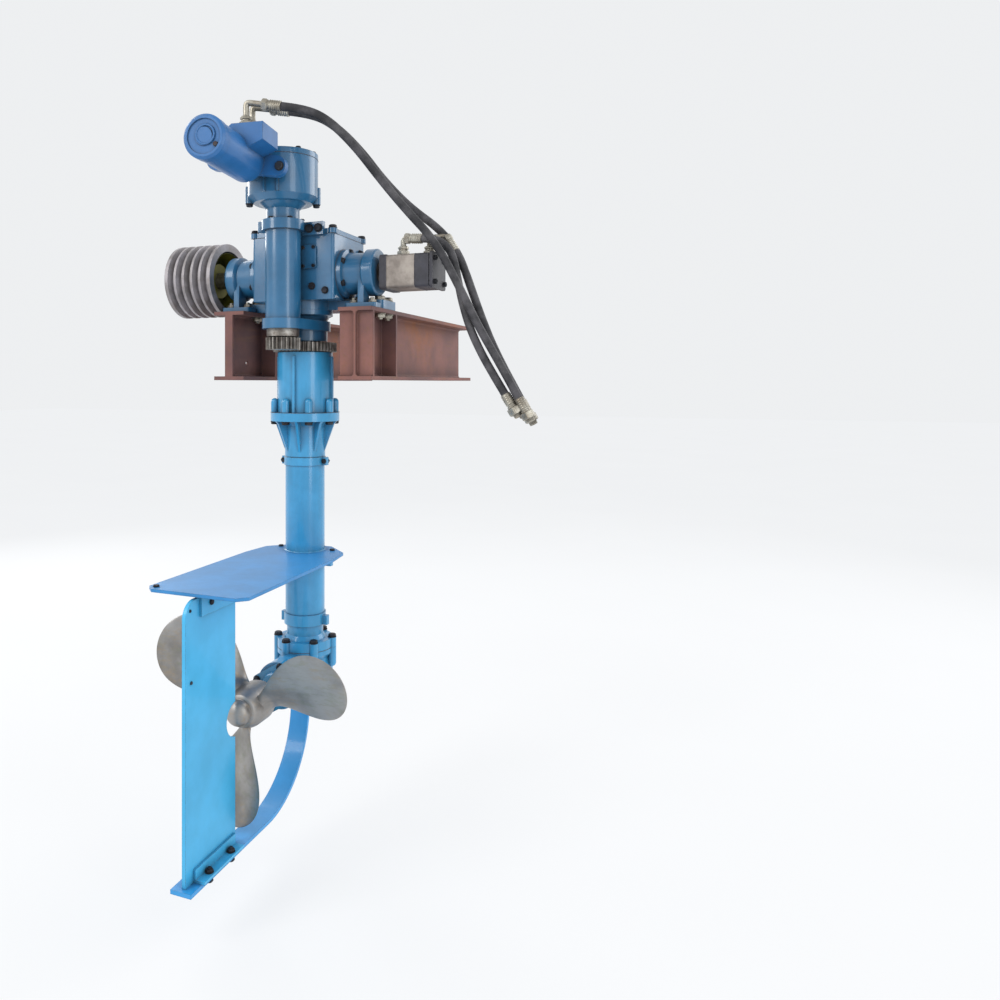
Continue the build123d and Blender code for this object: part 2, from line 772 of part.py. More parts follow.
def fin():
    """Upright fin plate behind the propeller, notched round the propeller nut."""
    low = bar_low_z + bar_thickness / 2
    outline = Polyline((fin_near, fin_top), (fin_far, fin_top), (fin_far, low), (fin_near, low), close=True)
    face = make_face(outline)
    corner = face.vertices().sort_by(Axis.X)[:2].sort_by(Axis.Y)[-1]
    face = fillet(corner, fin_corner)
    face -= Pos(fin_near + 5, prop_z - 6) * Circle(fin_notch)
    side_plane = Plane(origin=(0, 0, 0), x_dir=(0, 1, 0), z_dir=(1, 0, 0))
    plate = extrude(side_plane * face, fin_thickness / 2, both=True)
    return plate


def guard_bar():
    """Flat bar from under the gearcase, down and aft in a quarter bend to below the fin."""
    corners = [(bar_foot - 12, bar_top_z), (bar_drop_y, bar_top_z),
               (bar_drop_y, bar_low_z), (bar_far, bar_low_z)]
    line = FilletPolyline(*corners, radius=[14, bar_bend])
    side_plane = Plane(origin=(0, 0, 0), x_dir=(0, 1, 0), z_dir=(1, 0, 0))
    path = side_plane * line
    start = Plane(origin=path @ 0, x_dir=(1, 0, 0), z_dir=path % 0)
    bar = sweep(start * Rectangle(bar_width, bar_thickness), path)
    for y in bar_bolt_y:
        bar -= Pos(bar_bolt_x, y, bar_low_z) * Cylinder(small_bolt / 2 + bolt_gap, 4 * bar_thickness)
    return bar


bar_bolt_y = (-430.0, -522.0)


def angle_bracket(low, high_leg, length_from, length_to, upward):
    """Steel angle along the fin's side, with one leg flat against a plate."""
    side = fin_thickness / 2
    reach = side + bracket_leg
    if upward:
        upright = block(side, side + bracket_plate, length_from, length_to, low - bracket_leg, low)
        flat = block(side, reach, length_from, length_to, low - bracket_plate, low)
    else:
        upright = block(side, side + bracket_plate, length_from, length_to, low, low + bracket_leg * 0.6)
        flat = block(side, side + high_leg, length_from, length_to, low, low + bracket_plate)
    return upright + flat


def hose_route(points):
    """Rounded path through hand-chosen points, each bend as large as its two runs allow."""
    vectors = [Vector(*p) for p in points]
    radii = []
    for a, b, c in zip(vectors, vectors[1:], vectors[2:]):
        turn = radians((b - a).get_angle(c - b))
        radii.append(0.45 * min((b - a).length, (c - b).length) / tan(turn / 2))
    return FilletPolyline(*points, radius=radii), radii


def hose(name, points):
    """Plain hose tube along its route; its bend radii and volume are printed."""
    path, radii = hose_route(points)
    start = Plane(origin=path @ 0, z_dir=path % 0)
    body = sweep(start * Circle(hose_radius), path)
    length = path.length
    share = body.volume / (pi * hose_radius ** 2 * length)
    print(name, "length", round(length), "radii", [round(r) for r in radii], "volume share", round(share, 4))
    keep(name, body)
    return path


def hose_end(path):
    """Crimped ferrule and swivel nut at the free end of a hose."""
    end = Plane(origin=path @ 1, z_dir=path % 1)
    nut = extrude(RegularPolygon(16.5, 6, major_radius=False), 20)
    piece = end * Cylinder(ferrule_radius, ferrule_length, align=LOW)
    piece += end * Pos(0, 0, ferrule_length) * nut
    return piece + end * Pos(0, 0, ferrule_length + 20) * Cylinder(11, 10, align=LOW)


def fitting(points, corners, base):
    """Hexagon adaptor on a port, its bent pipe, and the ferrule that meets the start of a hose."""
    start = Vector(*points[0])
    back = (start - Vector(*points[1])).normalized()
    x, y = corners[0][:2]
    pipe = FilletPolyline((x, y, base + 10), *corners, start + back * ferrule_length, radius=pipe_bend)
    body = sweep(Plane(origin=pipe @ 0, z_dir=pipe % 0) * Circle(pipe_radius), pipe)
    body += Plane(origin=start, z_dir=back) * Cylinder(ferrule_radius, ferrule_length, align=LOW)
    return body + Pos(x, y, base) * extrude(RegularPolygon(adaptor_half, 6, major_radius=False), 18)


# Frame of beams and the gearbox on it
keep("left_beam", deck_beam(-1))
keep("right_beam", deck_beam(1))
keep("gearbox_housing", gearbox_housing())
keep("gearbox_lid", gearbox_lid())
panel_plane = Plane(origin=(panel_x, box_aft, panel_z), x_dir=(1, 0, 0), z_dir=(0, -1, 0))
panel_outline = RectangleRounded(panel_width, panel_height, 9)
keep("inspection_panel", panel_plane * extrude(panel_outline, panel_thickness))
keep("right_carrier", carrier(1))
keep("left_carrier", carrier(-1))
lid_top = Plane(origin=(0, 0, box_rim + lid_thickness))
lid_spots = [(x * (box_half_width - 6), y) for x in (-1, 1) for y in (box_aft + 8, box_front - 8)]
lid_bolts = [spot * hex_head(flange_bolt) for spot in spots(lid_top, lid_spots)]
base_top = Plane(origin=(0, 0, box_floor))
flange_under = Plane(origin=(0, 0, beam_height - beam_flange))
grip = box_floor - beam_height + beam_flange
keep("deck_bolts", *[spot * hex_bolt(deck_bolt, grip + 18) for spot in spots(base_top, deck_spots)],
     *[spot * hex_nut(deck_bolt) for spot in spots(flange_under, deck_spots)])

# Input shaft with its bearings, pulley and bevel gear
seat = shaft_radius + running
shaft_far = pulley_near + pulley_width + 6
input_shaft = Pos(0, 0, -shaft_far) * Cylinder(shaft_radius, shaft_far + carrier_end, align=LOW)
pump_shaft_end = pump_far - pump_shaft_depth
input_shaft += Pos(0, 0, carrier_end) * Cylinder(pump_shaft, pump_shaft_end - carrier_end, align=LOW)
keep("input_shaft", ALONG_X * input_shaft)
rings = [ALONG_X * tube(carrier_bore - running, seat, place, place + bearing_width)
         for place in (bearing_seat, -bearing_seat - bearing_width)]
keep("drive_pulley", ribbed_pulley())
keep("pulley_bush", ALONG_X * tube(hub_radius, seat, pulley_middle - 44, pulley_middle + 44))
keep("input_bevel", Plane(origin=(0, 0, input_z), x_dir=(0, 1, 0), z_dir=(-1, 0, 0))
     * bevel_blank(bevel_drive_radius, bevel_driven_radius, bevel_face, 34, seat))

# Gear pump
adapter_bore = ALONG_X * Cylinder(pump_shaft + 4, 4 * pump_far)
keep("pump_adapter", pump_block(pump_near, chamber_near, -2) - adapter_bore)
chamber = eight(pump_tip + 0.15, chamber_near - 1, chamber_far + 1)
keep("pump_body", pump_block(chamber_near, chamber_far) - chamber)
gear_near = chamber_near + pump_bush
gear_far = chamber_far - pump_bush
bush_bores = ALONG_X * (Cylinder(pump_shaft + running, 4 * pump_far)
                        + Pos(pump_distance, 0, 0) * Cylinder(pump_shaft + running, 4 * pump_far))
bushes = [eight(pump_tip + 0.1, low, low + pump_bush - slide) - bush_bores
          for low in (chamber_near, gear_far + slide)]
keep("pump_bushes", *bushes)
pump_width = gear_far - gear_near - 2 * slide
drive = spur_gear(pump_module, pump_teeth, pump_width, pump_shaft + running, 0, 0.8)
keep("pump_drive_gear", ALONG_X * Pos(0, 0, gear_near + slide) * drive)
idler = spur_gear(pump_module, pump_teeth, pump_width, pump_shaft - 1, 180 + 180 / pump_teeth, 0.8)
idler += Pos(0, 0, -pump_bush + 1) * Cylinder(pump_shaft, pump_width + 2 * pump_bush - 2, align=LOW)
keep("pump_idler_gear", ALONG_X * Pos(pump_distance, 0, gear_near + slide) * idler)
way_length = pump_shaft_end + 2 - pump_near
shaft_way = ALONG_X * Pos(0, 0, pump_near) * Cylinder(pump_shaft + 1, way_length, align=LOW)
keep("pump_cover", pump_block(chamber_far, cover_far) - shaft_way)
keep("pump_end", (pump_block(cover_far, spacer_far, 3) + pump_block(spacer_far, pump_far, -3)) - shaft_way)

# Slewing spigot, vertical drive shaft and its bevel gears
spigot_line = Polyline((spigot_bore, beam_height), (base_boss, beam_height),
                       (base_boss, beam_height - neck_flange),
                       (neck_radius + 6, beam_height - neck_flange - 5),
                       (neck_radius, arm_low + arm_height + 2),
                       (neck_radius, neck_low), (spigot_radius, neck_low), (spigot_radius, spigot_low),
                       (spigot_bore, spigot_low), close=True)
spigot = revolve(Plane.XZ * make_face(spigot_line), Axis.Z)
seat_floor = beam_height - spigot_seat_depth
spigot -= tube(spigot_seat, 0, seat_floor, beam_height + 1)
keep("slewing_spigot", spigot)
rings.append(tube(spigot_seat - running, drive_radius + running, seat_floor, beam_height))
keep("gearbox_bearings", *rings)
shaft_top = input_z - shaft_radius - 6
shaft_low = prop_z + prop_shaft + 2
keep("drive_shaft", tube(drive_radius, 0, shaft_low, shaft_top))
keep("driven_bevel", Pos(0, 0, input_z)
     * bevel_blank(bevel_driven_radius, bevel_drive_radius, bevel_face, 34, drive_radius + running))
keep("lower_bevel", Pos(0, 0, prop_z) * Rot(180, 0, 0)
     * bevel_blank(lower_pinion_radius, crown_radius, crown_face, 28, drive_radius + running))

# Worm gearbox, column and steering pinion
column_y = -gear_distance
keep("column_arm", column_arm())
column = tube(column_radius, column_bore, arm_low, column_top, 0, column_y)
column += tube(column_radius + 10, column_bore, column_top, column_top + column_flange, 0, column_y)
bracket_aft = box_aft - bracket_skin
flange_top = column_top + column_flange
column += block(bracket_from, bracket_to, bracket_aft, box_aft, column_top - bracket_low, flange_top)
column += block(-20, 40, column_y + 18, bracket_aft + 1, column_top, flange_top)
column += tube(12, 0, column_top, column_top + column_flange, -column_radius - 14, column_y - 6)
column -= block(-bracket_to, bracket_to, box_aft, 0, column_top - 2 * bracket_low, flange_top + 1)
column -= tube(column_bore, 0, arm_low - 1, column_top + column_flange + 1, 0, column_y)
keep("column", column)
collar_low = pinion_low + pinion_height + 3
column_seal = tube(column_radius - 4, pinion_shaft + running, collar_low, arm_low, 0, column_y)
bearing_places = (arm_low + 8, column_top - 12)
column_rings = [tube(column_bore - running, pinion_shaft + running, z, z + 17, 0, column_y)
                for z in bearing_places]
keep("worm_housing", worm_housing())
keep("worm_housing_lid", tube(drum_radius, 0, drum_top, drum_top + drum_lid, 0, column_y)
     + tube(20, 0, drum_top + drum_lid, drum_top + drum_lid + 6, 0, column_y))
pinion_first = 90 + 180 / pinion_teeth
pinion = spur_gear(gear_module, pinion_teeth, pinion_height, pinion_shaft - 1, pinion_first)
pinion += tube(pinion_shaft, 0, 0, motor_z + worm_wheel_width / 2 + 6 - pinion_low)
keep("steering_pinion", Pos(0, column_y, pinion_low) * pinion)
wheel = tube(worm_wheel_radius + 4, pinion_shaft + running, -worm_wheel_width / 2, worm_wheel_width / 2)
worm_radius = worm_offset - worm_wheel_radius
throat_ring = revolve(Plane.XZ * Pos(worm_offset, 0) * Circle(worm_radius + 0.4), Axis.Z)
keep("worm_wheel", Pos(0, column_y, motor_z) * (wheel - throat_ring))
worm = Pos(0, 0, -worm_half_length) * Cylinder(worm_radius, 2 * worm_half_length, align=LOW)
worm_tail = worm_half_length + 22
worm += Pos(0, 0, -worm_tail) * Cylinder(worm_shaft, worm_tail + boss_end + 30, align=LOW)
keep("worm", MOTOR * worm)
worm_seats = [MOTOR * tube(worm_bearing, worm_shaft + running, low, low + 14)
              for low in (-worm_half_length - 21, worm_half_length + 20)]
keep("steering_bearings", column_seal, *column_rings, *worm_seats)

# Steering motor
motor_start = boss_end
lug_width = 1.55 * boss_radius
roll = Rot(0, 0, -motor_flange_turn)
flange_outline = RectangleRounded(2 * motor_flange_reach, lug_width, lug_width / 2 - 1)
flange_outline += Circle(boss_radius + 3)
flange = extrude(flange_outline, motor_flange) - Cylinder(worm_shaft + 2, 4 * motor_flange)
motor_lug = motor_flange_reach - motor_flange_edge
for x in (-motor_lug, motor_lug):
    flange -= Pos(x, 0, motor_flange) * bolt_hole(flange_bolt, motor_flange + 1)
barrel_start = motor_start + motor_flange
barrel = Pos(0, 0, barrel_start) * Cylinder(motor_radius, motor_length - motor_cap, align=LOW)
port_line = Polyline((0, 0), (motor_radius - 2, 8), (port_reach, port_top - port_side),
                     (port_reach, port_top), (port_reach - port_flat, port_top),
                     (-motor_radius / 2, motor_radius - 10), close=True)
barrel += Pos(0, 0, barrel_start + port_near) * extrude(make_face(port_line), port_far - port_near)
barrel += Pos(0, 0, motor_start) * roll * flange
barrel -= Pos(0, 0, barrel_start - 1) * Cylinder(worm_shaft + 4, 40, align=LOW)
keep("steer_motor_body", MOTOR * barrel)
cap_start = barrel_start + motor_length - motor_cap
cap = Pos(0, 0, cap_start) * Cylinder(motor_radius + 2, motor_cap - 6, align=LOW)
cap += Pos(0, 0, cap_start + motor_cap - 6) * Cone(motor_radius + 2, motor_radius - 4, 6, align=LOW)
groove = Cylinder(motor_radius - 10, 4, align=LOW) - Cylinder(22, 4, align=LOW)
cap -= Pos(0, 0, cap_start + motor_cap - 3) * groove
keep("steer_motor_cap", MOTOR * cap)
motor_bolts = [MOTOR * roll * Pos(x, 0, barrel_start) * hex_bolt(flange_bolt, motor_flange - 1)
               for x in (-motor_lug, motor_lug)]
bracket_face = Plane(origin=(0, box_aft - bracket_skin, column_top + 10), x_dir=(1, 0, 0), z_dir=(0, -1, 0))
bracket_spots = spots(bracket_face, [(x, 0) for x in bracket_bolt_x])
bracket_bolts = [spot * hex_head(flange_bolt) for spot in bracket_spots]
keep("casing_bolts", *lid_bolts, *motor_bolts, *bracket_bolts)

# Leg
ring_gear = spur_gear(gear_module, ring_teeth, ring_height, spigot_radius + 6, -90)
keep("steer_ring_gear", Pos(0, 0, ring_low) * ring_gear)
keep("leg_head", leg_head())
leg_rings = [tube(head_bore - running, spigot_radius + running, z, z + head_bearing)
             for z in (head_top - 32, spigot_low + 18)]
keep("leg_bell", bell())
under_flange = Plane(origin=(0, 0, head_low - bell_flange_thickness), x_dir=(1, 0, 0), z_dir=(0, 0, -1))
bell_bolts = [spot * hex_bolt(flange_bolt, bell_flange_thickness - 1)
              for spot in spots(under_flange, [(x, -y) for x, y in head_lugs])]
clamp_low = bell_low - collar_height - 2
keep("tube_clamps", clamp_ring(collar_radius, tube_radius, clamp_low, bell_low - 2, collar_radius + 12),
     clamp_ring(tube_radius + 10, tube_radius + slide, plate_z - 34, plate_z, tube_radius + 30))
keep("leg_tube", tube(tube_radius, tube_radius - tube_wall, tube_low, bell_low))
keep("cavitation_plate", cavitation_plate())
keep("leg_adapter", leg_adapter())
keep("gearcase", gearcase())
case_spots = [(x, y) for x, y in circle_of(case_lug_circle, 6, 15)]
case_top_plane = Plane(origin=(0, 0, case_top + case_flange))
case_bolts = [spot * hex_bolt(flange_bolt, case_flange + 8) for spot in spots(case_top_plane, case_spots)]
keep("shaft_cap", shaft_cap())
cap_face = PROP * Pos(0, 0, case_boss_end + cap_thickness)
aft_bolts = [cap_face * Pos(x, y) * hex_bolt(small_bolt, cap_thickness - 1) for x, y in cap_bolts]
bar_under = bar_low_z - bar_thickness / 2
bar_over = bar_low_z + bar_thickness / 2 + bracket_plate
bar_grip = bar_thickness + bracket_plate
bar_bolts = [Pos(bar_bolt_x, y, bar_under) * Rot(180, 0, 0) * hex_bolt(small_bolt, bar_grip + 12)
             for y in bar_bolt_y]
bar_nuts = [Pos(bar_bolt_x, y, bar_over) * Rot(180, 0, 0) * hex_nut(small_bolt) for y in bar_bolt_y]
keep("leg_bolts", *bell_bolts, *case_bolts, *aft_bolts, *bar_bolts, *bar_nuts)

# Propeller and its shaft
shaft_end = -prop_plane_y + prop_hub_half
nose_end = case_nose - 14
keep("propeller_shaft", PROP * Pos(0, 0, -nose_end) * Cylinder(prop_shaft, nose_end + shaft_end, align=LOW))
keep("propeller", propeller())
dome = scale(Sphere(nut_radius), (1, 1, 0.75))
nut = Cylinder(nut_radius, nut_length * 0.4, align=LOW) + Pos(0, 0, nut_length * 0.4) * dome
nut -= Pos(0, 0, -nut_radius) * Cylinder(2 * nut_radius, nut_radius, align=LOW)
keep("propeller_nut", PROP * Pos(0, 0, shaft_end) * nut)
keep("crown_bevel", PROP * Rot(180, 0, 0)
     * bevel_blank(crown_radius, lower_pinion_radius, crown_face, 34, prop_shaft + running))
aft_ring = case_boss_end - cap_seat
leg_rings.append(PROP * tube(seal_seat - running, prop_shaft + running, aft_ring - bearing_width, aft_ring))
leg_rings.append(PROP * tube(nose_seat - running, prop_shaft + running, -case_nose + 12, -case_nose + 30))
keep("leg_bearings", *leg_rings)

# Fin and guard bar
keep("fin", fin())
keep("guard_bar", guard_bar())
foot = angle_bracket(bar_low_z + bar_thickness / 2, 30, fin_far + 30, fin_near - 8, False)
for y in bar_bolt_y:
    foot -= Pos(bar_bolt_x, y, bar_low_z) * Cylinder(small_bolt / 2 + bolt_gap, 4 * bar_thickness)
keep("fin_brackets", angle_bracket(plate_z, 0, fin_far + 55, fin_near - 2, True), foot)

# Hoses, their fittings and their free ends
hose_routes = {
    "pump_hose_a": [(366, -12, 386), (394, -12, 384), (424, -12, 372), (446, -12, 348), (458, -12, 316),
                    (466, -12, 272), (480, -12, 204), (502, -13, 134), (533, -13, 68), (568, -13, 8),
                    (596, -13, -38)],
    "pump_hose_b": [(451, 15, 350), (468, 15, 322), (484, 15, 283), (504, 14, 226), (528, 14, 160),
                    (556, 14, 92), (588, 14, 28), (620, 13, -30), (634, 13, -56)],
    "steer_hose_a": [(101, -324, 686), (160, -308, 677), (208, -272, 654), (252, -205, 600), (292, -148, 532),
                     (345, -94, 455), (418, -50, 367), (480, -34, 242), (525, -20, 143), (585, -14, 38),
                     (632, -13, -48)],
    "steer_hose_b": [(102, -282, 686), (160, -266, 677), (206, -228, 652), (248, -158, 600), (286, -100, 534),
                     (336, -30, 470), (402, 42, 416), (454, 50, 344), (484, 47, 256), (524, 43, 150),
                     (572, 39, 44), (616, 37, -44)],
}
port_base = input_z + pump_lift + pump_height / 2
block_top = motor_z + port_top
pipe_corners = {
    "pump_hose_a": [(311, -12, 389.9)],
    "pump_hose_b": [(378, 15, 392), (425, 15, 392)],
    "steer_hose_a": [(13, -347, 700)],
    "steer_hose_b": [(8, -308, 700)],
}
pipe_bases = {"pump": port_base, "steer": block_top}
fittings = {"pump": [], "steer": []}
ends = []
for name, points in hose_routes.items():
    path = hose(name, points)
    side = name.split("_")[0]
    fittings[side].append(fitting(points, pipe_corners[name], pipe_bases[side]))
    ends.append(hose_end(path))
keep("pump_fittings", *fittings["pump"])
keep("steer_fittings", *fittings["steer"])
keep("hose_ends", *ends)

for name, solid in nodes.items():
    print(name, round(solid.volume / 1000, 1), "cm3")

os.makedirs("parts", exist_ok=True)
for name, solid in nodes.items():
    export_step(solid, os.path.join("parts", name + ".step"))
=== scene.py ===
"""Finish and fine detail of a belt driven marine thruster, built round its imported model.

Cameras, lights and materials are in metres; the places and sizes of pieces are in millimetres."""

import math

import bpy
import numpy as np
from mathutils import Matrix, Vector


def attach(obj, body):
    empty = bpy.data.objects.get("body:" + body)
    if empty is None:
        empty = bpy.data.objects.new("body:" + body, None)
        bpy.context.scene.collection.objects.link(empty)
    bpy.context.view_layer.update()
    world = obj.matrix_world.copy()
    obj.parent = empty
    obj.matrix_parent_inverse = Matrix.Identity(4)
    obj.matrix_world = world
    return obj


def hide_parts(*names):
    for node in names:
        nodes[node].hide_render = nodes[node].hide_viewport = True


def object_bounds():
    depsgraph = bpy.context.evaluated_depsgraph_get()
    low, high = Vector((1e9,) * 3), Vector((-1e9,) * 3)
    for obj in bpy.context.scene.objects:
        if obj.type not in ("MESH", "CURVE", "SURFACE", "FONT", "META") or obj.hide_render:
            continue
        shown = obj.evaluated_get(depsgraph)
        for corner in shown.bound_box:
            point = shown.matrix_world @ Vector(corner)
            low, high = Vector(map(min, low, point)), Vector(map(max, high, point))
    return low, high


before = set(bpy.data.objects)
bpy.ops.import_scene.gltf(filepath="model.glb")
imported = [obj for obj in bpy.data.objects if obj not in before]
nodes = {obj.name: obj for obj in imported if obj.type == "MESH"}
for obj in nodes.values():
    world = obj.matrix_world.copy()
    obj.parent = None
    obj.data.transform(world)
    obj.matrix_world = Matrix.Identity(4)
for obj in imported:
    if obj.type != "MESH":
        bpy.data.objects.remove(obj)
cad_low, cad_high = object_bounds()
MM = 0.001


# Camera, light and floor, in metres

CAMERA_PLACE = (1.121, -2.1556, -0.0084)
CAMERA_TURN = 23.008
CAMERA_SHIFT = (0.13, -0.117)
FOCAL_SHARE = 0.8303
SKY_COLOUR = (0.97, 0.985, 1.0, 1.0)
SKY_STRENGTH = 0.88
FLOOR_COLOUR = (0.24, 0.24, 0.243)
FLOOR_GLOW = 0.68
FLOOR_GAP = 0.12
FLOOR_HALF = 30.0


def stage_camera():
    """Level camera at the photograph's place, with a small shift that keeps the uprights upright."""
    data = bpy.data.cameras.new("camera")
    data.sensor_width = 36.0
    data.lens = FOCAL_SHARE * data.sensor_width
    data.shift_x, data.shift_y = CAMERA_SHIFT
    data.clip_start = 0.05
    data.clip_end = 100.0
    camera = bpy.data.objects.new("camera", data)
    camera.location = CAMERA_PLACE
    camera.rotation_euler = (math.radians(90.0), 0.0, math.radians(CAMERA_TURN))
    bpy.context.scene.collection.objects.link(camera)
    bpy.context.scene.camera = camera


def soft_light(name, place, target, width, height, watts, colour=(1.0, 1.0, 1.0)):
    """Rectangular soft light that looks at a point, its upper edge level."""
    data = bpy.data.lights.new(name, "AREA")
    data.shape = "RECTANGLE"
    data.size = width
    data.size_y = height
    data.energy = watts
    data.color = colour
    lamp = bpy.data.objects.new(name, data)
    place, target = np.array(place), np.array(target)
    away = place - target
    away = away / np.linalg.norm(away)
    yaw = math.atan2(away[0], -away[1])
    pitch = math.acos(away[2])
    lamp.location = place
    lamp.rotation_euler = (pitch, 0.0, yaw)
    bpy.context.scene.collection.objects.link(lamp)


def stage_room():
    """Pale floor below the fin, a pale sky, and four soft lights."""
    world = bpy.data.worlds.new("studio")
    bpy.context.scene.world = world
    world.use_nodes = True
    background = world.node_tree.nodes["Background"]
    background.inputs["Color"].default_value = SKY_COLOUR
    background.inputs["Strength"].default_value = SKY_STRENGTH
    soft_light("key", (-2.0, -3.4, 2.2), (0, 0, 0), 1.4, 2.6, 80, (1.0, 0.98, 0.95))
    soft_light("fill", (3.6, -2.2, 0.6), (0, 0, -0.2), 1.2, 3.0, 36, (0.95, 0.98, 1.0))
    soft_light("rim", (-3.4, 2.2, 1.6), (0, 0, -0.2), 1.6, 3.2, 60)
    soft_light("back", (2.8, 3.2, 1.8), (0, 0, -0.2), 2.2, 2.6, 50)
    mesh = bpy.data.meshes.new("floor")
    level = cad_low.z - FLOOR_GAP
    corners = [(FLOOR_HALF * x, FLOOR_HALF * y, level) for x, y in ((-1, -1), (1, -1), (1, 1), (-1, 1))]
    mesh.from_pydata(corners, [], [(0, 1, 2, 3)])
    floor = bpy.data.objects.new("floor", mesh)
    bpy.context.scene.collection.objects.link(floor)
    floor.data.materials.append(floor_paint())
    bpy.context.scene.view_settings.view_transform = "Standard"


# Shader maths: a wire is one output socket, and arithmetic on wires adds the nodes

EDGE_SAMPLES = 4


class Wire:
    """An output socket of a material; operators on it add Math nodes to that material."""

    def __init__(self, finish, socket):
        self.finish = finish
        self.socket = socket

    def maths(self, operation, *others):
        """One Math node of this wire and the others, in their order."""
        sockets = dict(enumerate((self, *others)))
        return self.finish.node("ShaderNodeMath", {"operation": operation}, sockets)

    def __add__(self, other):
        return self.maths("ADD", other)

    def __mul__(self, other):
        return self.maths("MULTIPLY", other)

    def __sub__(self, other):
        return self.maths("SUBTRACT", other)

    def __rsub__(self, other):
        negative = self.maths("MULTIPLY", -1.0)
        return negative.maths("ADD", other)

    __radd__ = __add__
    __rmul__ = __mul__

    def clipped(self):
        """The value held between nought and one."""
        return self.maths("MAXIMUM", 0.0).maths("MINIMUM", 1.0)


class Finish:
    """A material being built: node() adds each of its nodes."""

    def __init__(self, name):
        self.material = bpy.data.materials.new(name)
        self.material.use_nodes = True
        self.tree = self.material.node_tree
        self.tree.nodes.clear()
        self.place = self.node("ShaderNodeTexCoord", {}, {}, "Object")

    def node(self, kind, settings, sockets, output=0):
        """One node: its settings first, then its sockets' values or links. Gives an output as a wire."""
        made = self.tree.nodes.new(kind)
        for key, value in settings.items():
            if key == "stops":
                self.set_stops(made.color_ramp, value)
            else:
                setattr(made, key, value)
        for key, value in sockets.items():
            if isinstance(value, Wire):
                self.tree.links.new(value.socket, made.inputs[key])
            else:
                made.inputs[key].default_value = value
        return Wire(self, made.outputs[output]) if made.outputs else made

    def set_stops(self, ramp, stops):
        """Places a ramp's colours."""
        while len(ramp.elements) < len(stops):
            ramp.elements.new(0.5)
        for element, (position, colour) in zip(ramp.elements, stops):
            element.position = position
            element.color = (*colour, 1.0)

    def noise(self, scale, detail=3.0, roughness=0.5, place=None):
        """Cloudy value of about 0.3 to 0.7, with so many waves to the metre."""
        sockets = {"Vector": place or self.place, "Scale": scale, "Detail": detail, "Roughness": roughness}
        return self.node("ShaderNodeTexNoise", {}, sockets)

    def stretched(self, x, y, z):
        """Object coordinates scaled along each axis, for grain that runs one way."""
        return self.node("ShaderNodeMapping", {}, {"Vector": self.place, "Scale": (x, y, z)})

    def band(self, value, low, high, bottom=0.0, top=1.0):
        """Smooth step from bottom to top as the value goes from low to high."""
        sockets = {0: value, 1: low, 2: high, 3: bottom, 4: top}
        return self.node("ShaderNodeMapRange", {"interpolation_type": "SMOOTHSTEP"}, sockets)

    def blend(self, factor, first, second):
        """Colour between two colours."""
        first = first if isinstance(first, Wire) else (*first, 1.0)
        second = second if isinstance(second, Wire) else (*second, 1.0)
        return self.node("ShaderNodeMix", {"data_type": "RGBA"}, {0: factor, 6: first, 7: second}, 2)

    def tinted(self, colour, value):
        """Colour made lighter or darker by a value round one."""
        grey = self.node("ShaderNodeCombineColor", {}, {0: value, 1: value, 2: value})
        colour = colour if isinstance(colour, Wire) else (*colour, 1.0)
        settings = {"data_type": "RGBA", "blend_type": "MULTIPLY"}
        return self.node("ShaderNodeMix", settings, {0: 1.0, 6: colour, 7: grey}, 2)

    def edges(self, radius):
        """One along outside and inside edges, from how far a rounded normal leans from the flat one."""
        soft = self.node("ShaderNodeBevel", {"samples": EDGE_SAMPLES}, {"Radius": radius})
        flat = self.node("ShaderNodeNewGeometry", {}, {}, "Normal")
        settings = {"operation": "DOT_PRODUCT"}
        likeness = self.node("ShaderNodeVectorMath", settings, {0: soft, 1: flat}, "Value")
        return self.band(1.0 - likeness, 0.01, 0.16)

    def crevice(self, reach):
        """One deep in corners between surfaces, nought in the open: the mask of the painted shade in
        corners.
        """
        settings = {"samples": EDGE_SAMPLES}
        open_share = self.node("ShaderNodeAmbientOcclusion", settings, {"Distance": reach}, "AO")
        return 1.0 - open_share

    def bump(self, height, distance, strength, round_edges=0.0):
        """Normal leaning with a height field, over edges rounded by a small radius if there is one."""
        sockets = {"Height": height, "Distance": distance, "Strength": strength}
        if round_edges:
            settings = {"samples": EDGE_SAMPLES}
            sockets["Normal"] = self.node("ShaderNodeBevel", settings, {"Radius": round_edges})
        return self.node("ShaderNodeBump", {}, sockets)

    def close(self, colour, rough, metal=0.0, normal=None, **constants):
        """Ends the material in a Principled shader; constants are more of its inputs, by name."""
        sockets = {"Base Color": colour if isinstance(colour, Wire) else (*colour, 1.0),
                   "Roughness": rough, "Metallic": metal}
        if normal:
            sockets["Normal"] = normal
        sockets.update({key.replace("_", " "): value for key, value in constants.items()})
        shader = self.node("ShaderNodeBsdfPrincipled", {}, sockets)
        self.node("ShaderNodeOutputMaterial", {}, {"Surface": shader})
        return self.material


def hue(red, green, blue):
    """Linear colour of a display colour given in 0 to 255."""
    shares = np.array([red, green, blue]) / 255.0
    linear = np.where(shares <= 0.04045, shares / 12.92, ((shares + 0.055) / 1.055) ** 2.4)
    return tuple(float(v) for v in linear)


# Finishes

def floor_paint():
    """Pale matt floor with a hint of unevenness, lit from within to come near the sky's brightness."""
    f = Finish("floor")
    cloud = f.noise(1.2, 4.0)
    colour = f.tinted(FLOOR_COLOUR, 0.96 + 0.08 * cloud)
    return f.close(colour, 0.9, Emission_Color=SKY_COLOUR, Emission_Strength=FLOOR_GLOW,
                   Specular_IOR_Level=0.0)


